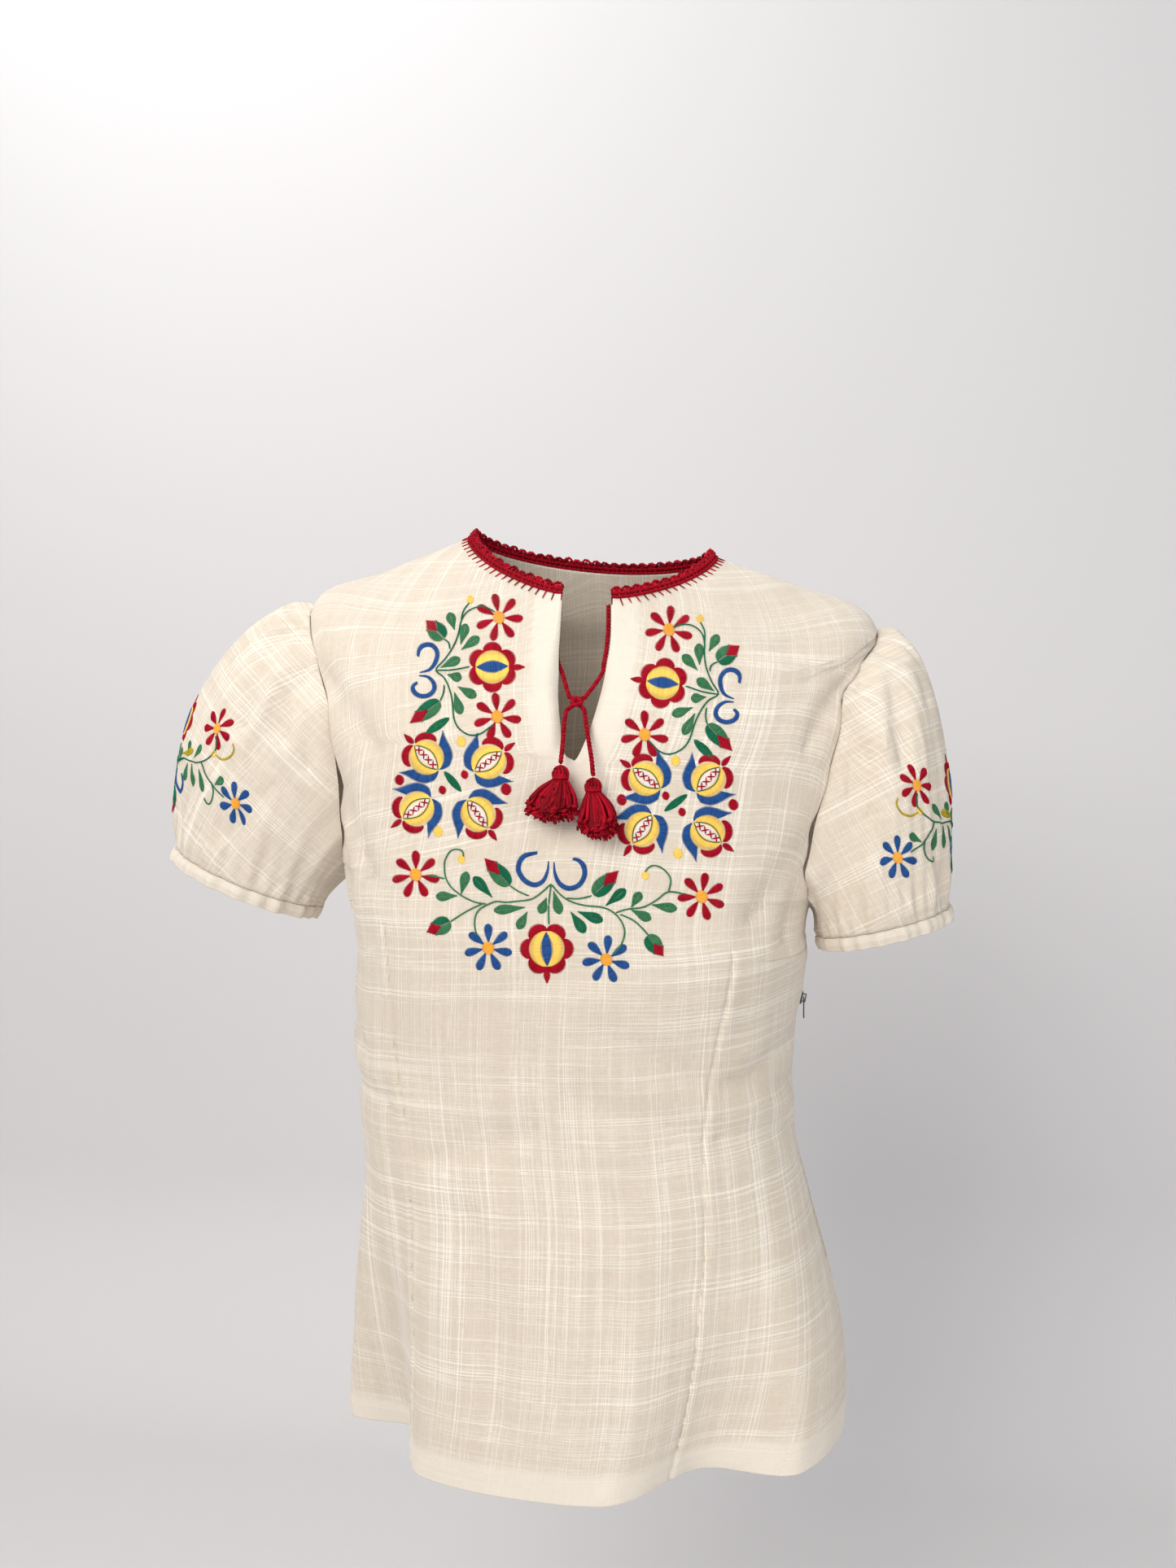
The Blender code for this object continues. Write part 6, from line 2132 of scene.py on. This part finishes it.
class PlainSewing:
    """Blanket stitches of the edging, cream rows at hem, armholes and cuffs, and the lines of the darts,
    whose darker thread is painted shade of the seams.
    """

    blanket_count: int = 82
    blanket_lift: float = 0.0005
    neck_middle: tuple[float, float, float] = (0.003, 0.0, -0.11)
    hem_level: float = 0.0196 / 0.052
    dart_levels: tuple[float, float] = (0.45, 6.5)
    row_pitch: float = 0.0034
    row_width: float = 0.00034
    dart_pitch: float = 0.0026
    dart_width: float = 0.00042
    dart_steps: int = 6

    def __init__(self, body: BodyForm, work: ThreadWork) -> None:
        """Keeps the form and the thread work."""
        self.body, self.work = body, work

    def build_blanket(self, crochet: Crochet) -> None:
        """Builds the blanket stitches that hold the edging, of uneven length."""
        lengths = np.random.default_rng(8).uniform(0.0040, 0.0052, self.blanket_count)
        spread = np.array([0.0, 0.26, 0.56, 0.8, 1.0])
        rows = []
        for angle, length in zip(crochet.angles(self.blanket_count), lengths):
            levels = NECK - spread * length / self.metres_per_level(angle)
            points = self.body.point(np.full(5, angle), levels)
            rows.append(points + unit(points - np.array(self.neck_middle)) * self.blanket_lift)
        radii = np.array([0.45, 0.50, 0.46, 0.40, 0.30]) * MM
        tones = np.random.default_rng(3).random(len(rows))
        stitches = tube_mesh("blanket_stitch", np.stack(rows), radii, 5, tones)
        finish_piece(stitches, MATERIALS[Hue.CRIMSON], "crimson_yarn")

    def run_rows(self, tree: BVHTree, sleeves: Iterable[PuffSleeve]) -> None:
        """Sews the cream rows of the hem, the armholes and the cuffs, and the lines of the darts in a
        darker thread that paints the seams' shade.
        """
        hem = self.body.point(np.linspace(-180, 180, 400), np.full(400, self.hem_level))
        self.work.run_along(Hue.CREAM, tree, hem, self.row_pitch, self.row_width)
        levels = np.linspace(*self.dart_levels, 200)
        shares = np.full(200, DART_COLUMN)
        darts = [self.body.panel_point(side, shares, levels, Panel.FRONT) for side in (-1, 1)]
        darts += [self.body.point(*np.linspace(start, end, 80).T) for start, end in BUST_DARTS]
        # The dart lines' darker thread is painted shade along the real seams.
        for dart in darts:
            self.work.run_along(Hue.SEAM, tree, dart, self.dart_pitch, self.dart_width, self.dart_steps)
        for sleeve in sleeves:
            for row in (1, len(sleeve.grid) - 3):
                line = np.concatenate([sleeve.grid[row], sleeve.grid[row][:1]])
                self.work.run_along(Hue.CREAM, tree, line, self.row_pitch, self.row_width)

    def metres_per_level(self, angle: float) -> float:
        """Cloth distance of one level just below the neck."""
        low, high = self.body.point(angle, NECK - 0.1), self.body.point(angle, float(NECK))
        return float(np.linalg.norm(high - low)) / 0.1


class Studio:
    """Pale sweep, soft lamps and the camera at the photograph's angle."""

    floor_height: float = -0.95
    wall_depth: float = 0.75
    bend: float = 0.25
    half_width: float = 5.0
    wall_top: float = 2.6
    sensor_width: float = 36.0
    wall: BackdropFinish = BackdropFinish("pale_wall", (0.68, 0.665, 0.67, 1))

    def build_camera(self) -> None:
        """Camera at the measured place, with a lens of the photograph's width of view."""
        azimuth = math.radians(CAMERA_AZIMUTH)
        data = bpy.data.cameras.new("camera")
        data.sensor_fit = "AUTO"
        data.sensor_width = self.sensor_width
        data.lens = self.sensor_width * FOCAL_PIXELS / PHOTO_HEIGHT
        data.clip_start = 0.01
        camera = bpy.data.objects.new("camera", data)
        camera.location = (
            CAMERA_DISTANCE * math.sin(azimuth), -CAMERA_DISTANCE * math.cos(azimuth), CAMERA_HEIGHT,
        )
        camera.rotation_euler = (math.radians(90), 0, azimuth)
        bpy.context.scene.collection.objects.link(camera)
        bpy.context.scene.camera = camera

    def build_sweep(self) -> None:
        """Floor that rises into a wall behind the blouse."""
        start = self.wall_depth - self.bend
        profile = [(-self.half_width, self.floor_height), (start, self.floor_height)]
        for step in range(1, 13):
            angle = math.radians(90 * step / 12)
            rise = self.bend * (1 - math.cos(angle))
            profile.append((start + self.bend * math.sin(angle), self.floor_height + rise))
        profile.append((self.wall_depth, self.wall_top))
        points = np.array([[(x, y, z) for y, z in profile] for x in (-self.half_width, self.half_width)])
        sweep = new_mesh("sweep", points, grid_faces(2, len(profile), flip=True))
        paint(sweep, self.wall.build())

    def lamp(
        self, name: str, place: tuple, target: tuple, size: float, watts: float, color: tuple
    ) -> None:
        """One soft square lamp that looks at a point."""
        data = bpy.data.lights.new(name, "AREA")
        data.size, data.energy, data.color = size, watts, color
        obj = bpy.data.objects.new(name, data)
        obj.location = place
        obj.rotation_euler = (Vector(target) - Vector(place)).to_track_quat("-Z", "Y").to_euler()
        bpy.context.scene.collection.objects.link(obj)

    def build_lights(self) -> None:
        """Large key from the upper left, weaker fill and even surroundings."""
        aim = (0.0, 0.0, -0.3)
        self.lamp("key", (-0.75, -1.75, 0.75), aim, 1.3, 34.0, (1.0, 0.975, 0.94))
        self.lamp("fill", (1.7, -1.3, -0.1), aim, 1.6, 13.0, (0.97, 0.98, 1.0))
        self.lamp("wall", (-0.7, -0.1, 1.6), (-0.3, 0.75, 0.3), 1.0, 15.0, (1.0, 1.0, 1.0))
        world = bpy.data.worlds.new("surroundings")
        world.use_nodes = True
        background = world.node_tree.nodes["Background"]
        background.inputs["Color"].default_value = (0.97, 0.975, 1.0, 1)
        background.inputs["Strength"].default_value = 0.36
        bpy.context.scene.world = world
        bpy.context.scene.view_settings.view_transform = "Standard"

    def build(self) -> None:
        """Builds the sweep and the lights."""
        self.build_sweep()
        self.build_lights()


def main() -> None:
    """Builds every piece in order and reports it."""
    logging.basicConfig(level=logging.INFO, format="%(name)s: %(message)s")
    studio = Studio()
    studio.build_camera()
    weave, yarn = slub_weave_group(), yarn_group()
    for hue in Hue:
        MATERIALS[hue] = hue.value.build(yarn)
    body = BodyForm()
    Tie(body, MATERIALS[Hue.CRIMSON]).build()
    LOG.info("tie made")
    cloth = ClothFinish(
        "slub_cotton_cream", (0.620, 0.532, 0.420, 1), (0.95, 0.885, 0.780, 1), (0.84, 0.770, 0.660, 1)
    ).build(weave)
    panels = BodyPanels(body, cloth)
    panels.build()
    LOG.info("body panels made")
    sleeves = [PuffSleeve(SleeveForm(body, sizes), cloth) for sizes in SLEEVES]
    for sleeve in sleeves:
        sleeve.build()
    LOG.info("sleeves made")
    crochet = Crochet(body, MATERIALS[Hue.CRIMSON])
    crochet.build()
    tape = PlainFinish("zip_tape_cream", (0.74, 0.68, 0.58, 1), 0.7)
    metal = PlainFinish("zip_metal_dark", (0.16, 0.15, 0.15, 1), 0.35, 1.0)
    SideZip(body, tape.build(), metal.build()).build()
    LOG.info("edging and zip made")
    front_view = ChartView([panels.surfaces[Panel.FRONT], *(sleeve.surface for sleeve in sleeves)])
    work = ThreadWork()
    for carry, axis in ((keep, 0.0), (mirror, 172.0)):
        UpperSpray(work, front_view).build(carry, axis)
    Daisies(work, front_view).build()
    MiddleBand(work, front_view).build()
    LowerSpray(work, front_view).build()
    for sleeve, lower, lean in zip(sleeves, (0.0, 9.0), (-0.08, 0.38)):
        SleeveSpray(work, SleeveView(sleeve, lower, lean)).build()
    plain = PlainSewing(body, work)
    surfaces = [*panels.surfaces.values(), *(sleeve.surface for sleeve in sleeves)]
    plain.run_rows(search_tree(surfaces), sleeves)
    work.build()
    plain.build_blanket(crochet)
    LOG.info("thread work made")
    studio.build()


if __name__ == "__main__":
    main()
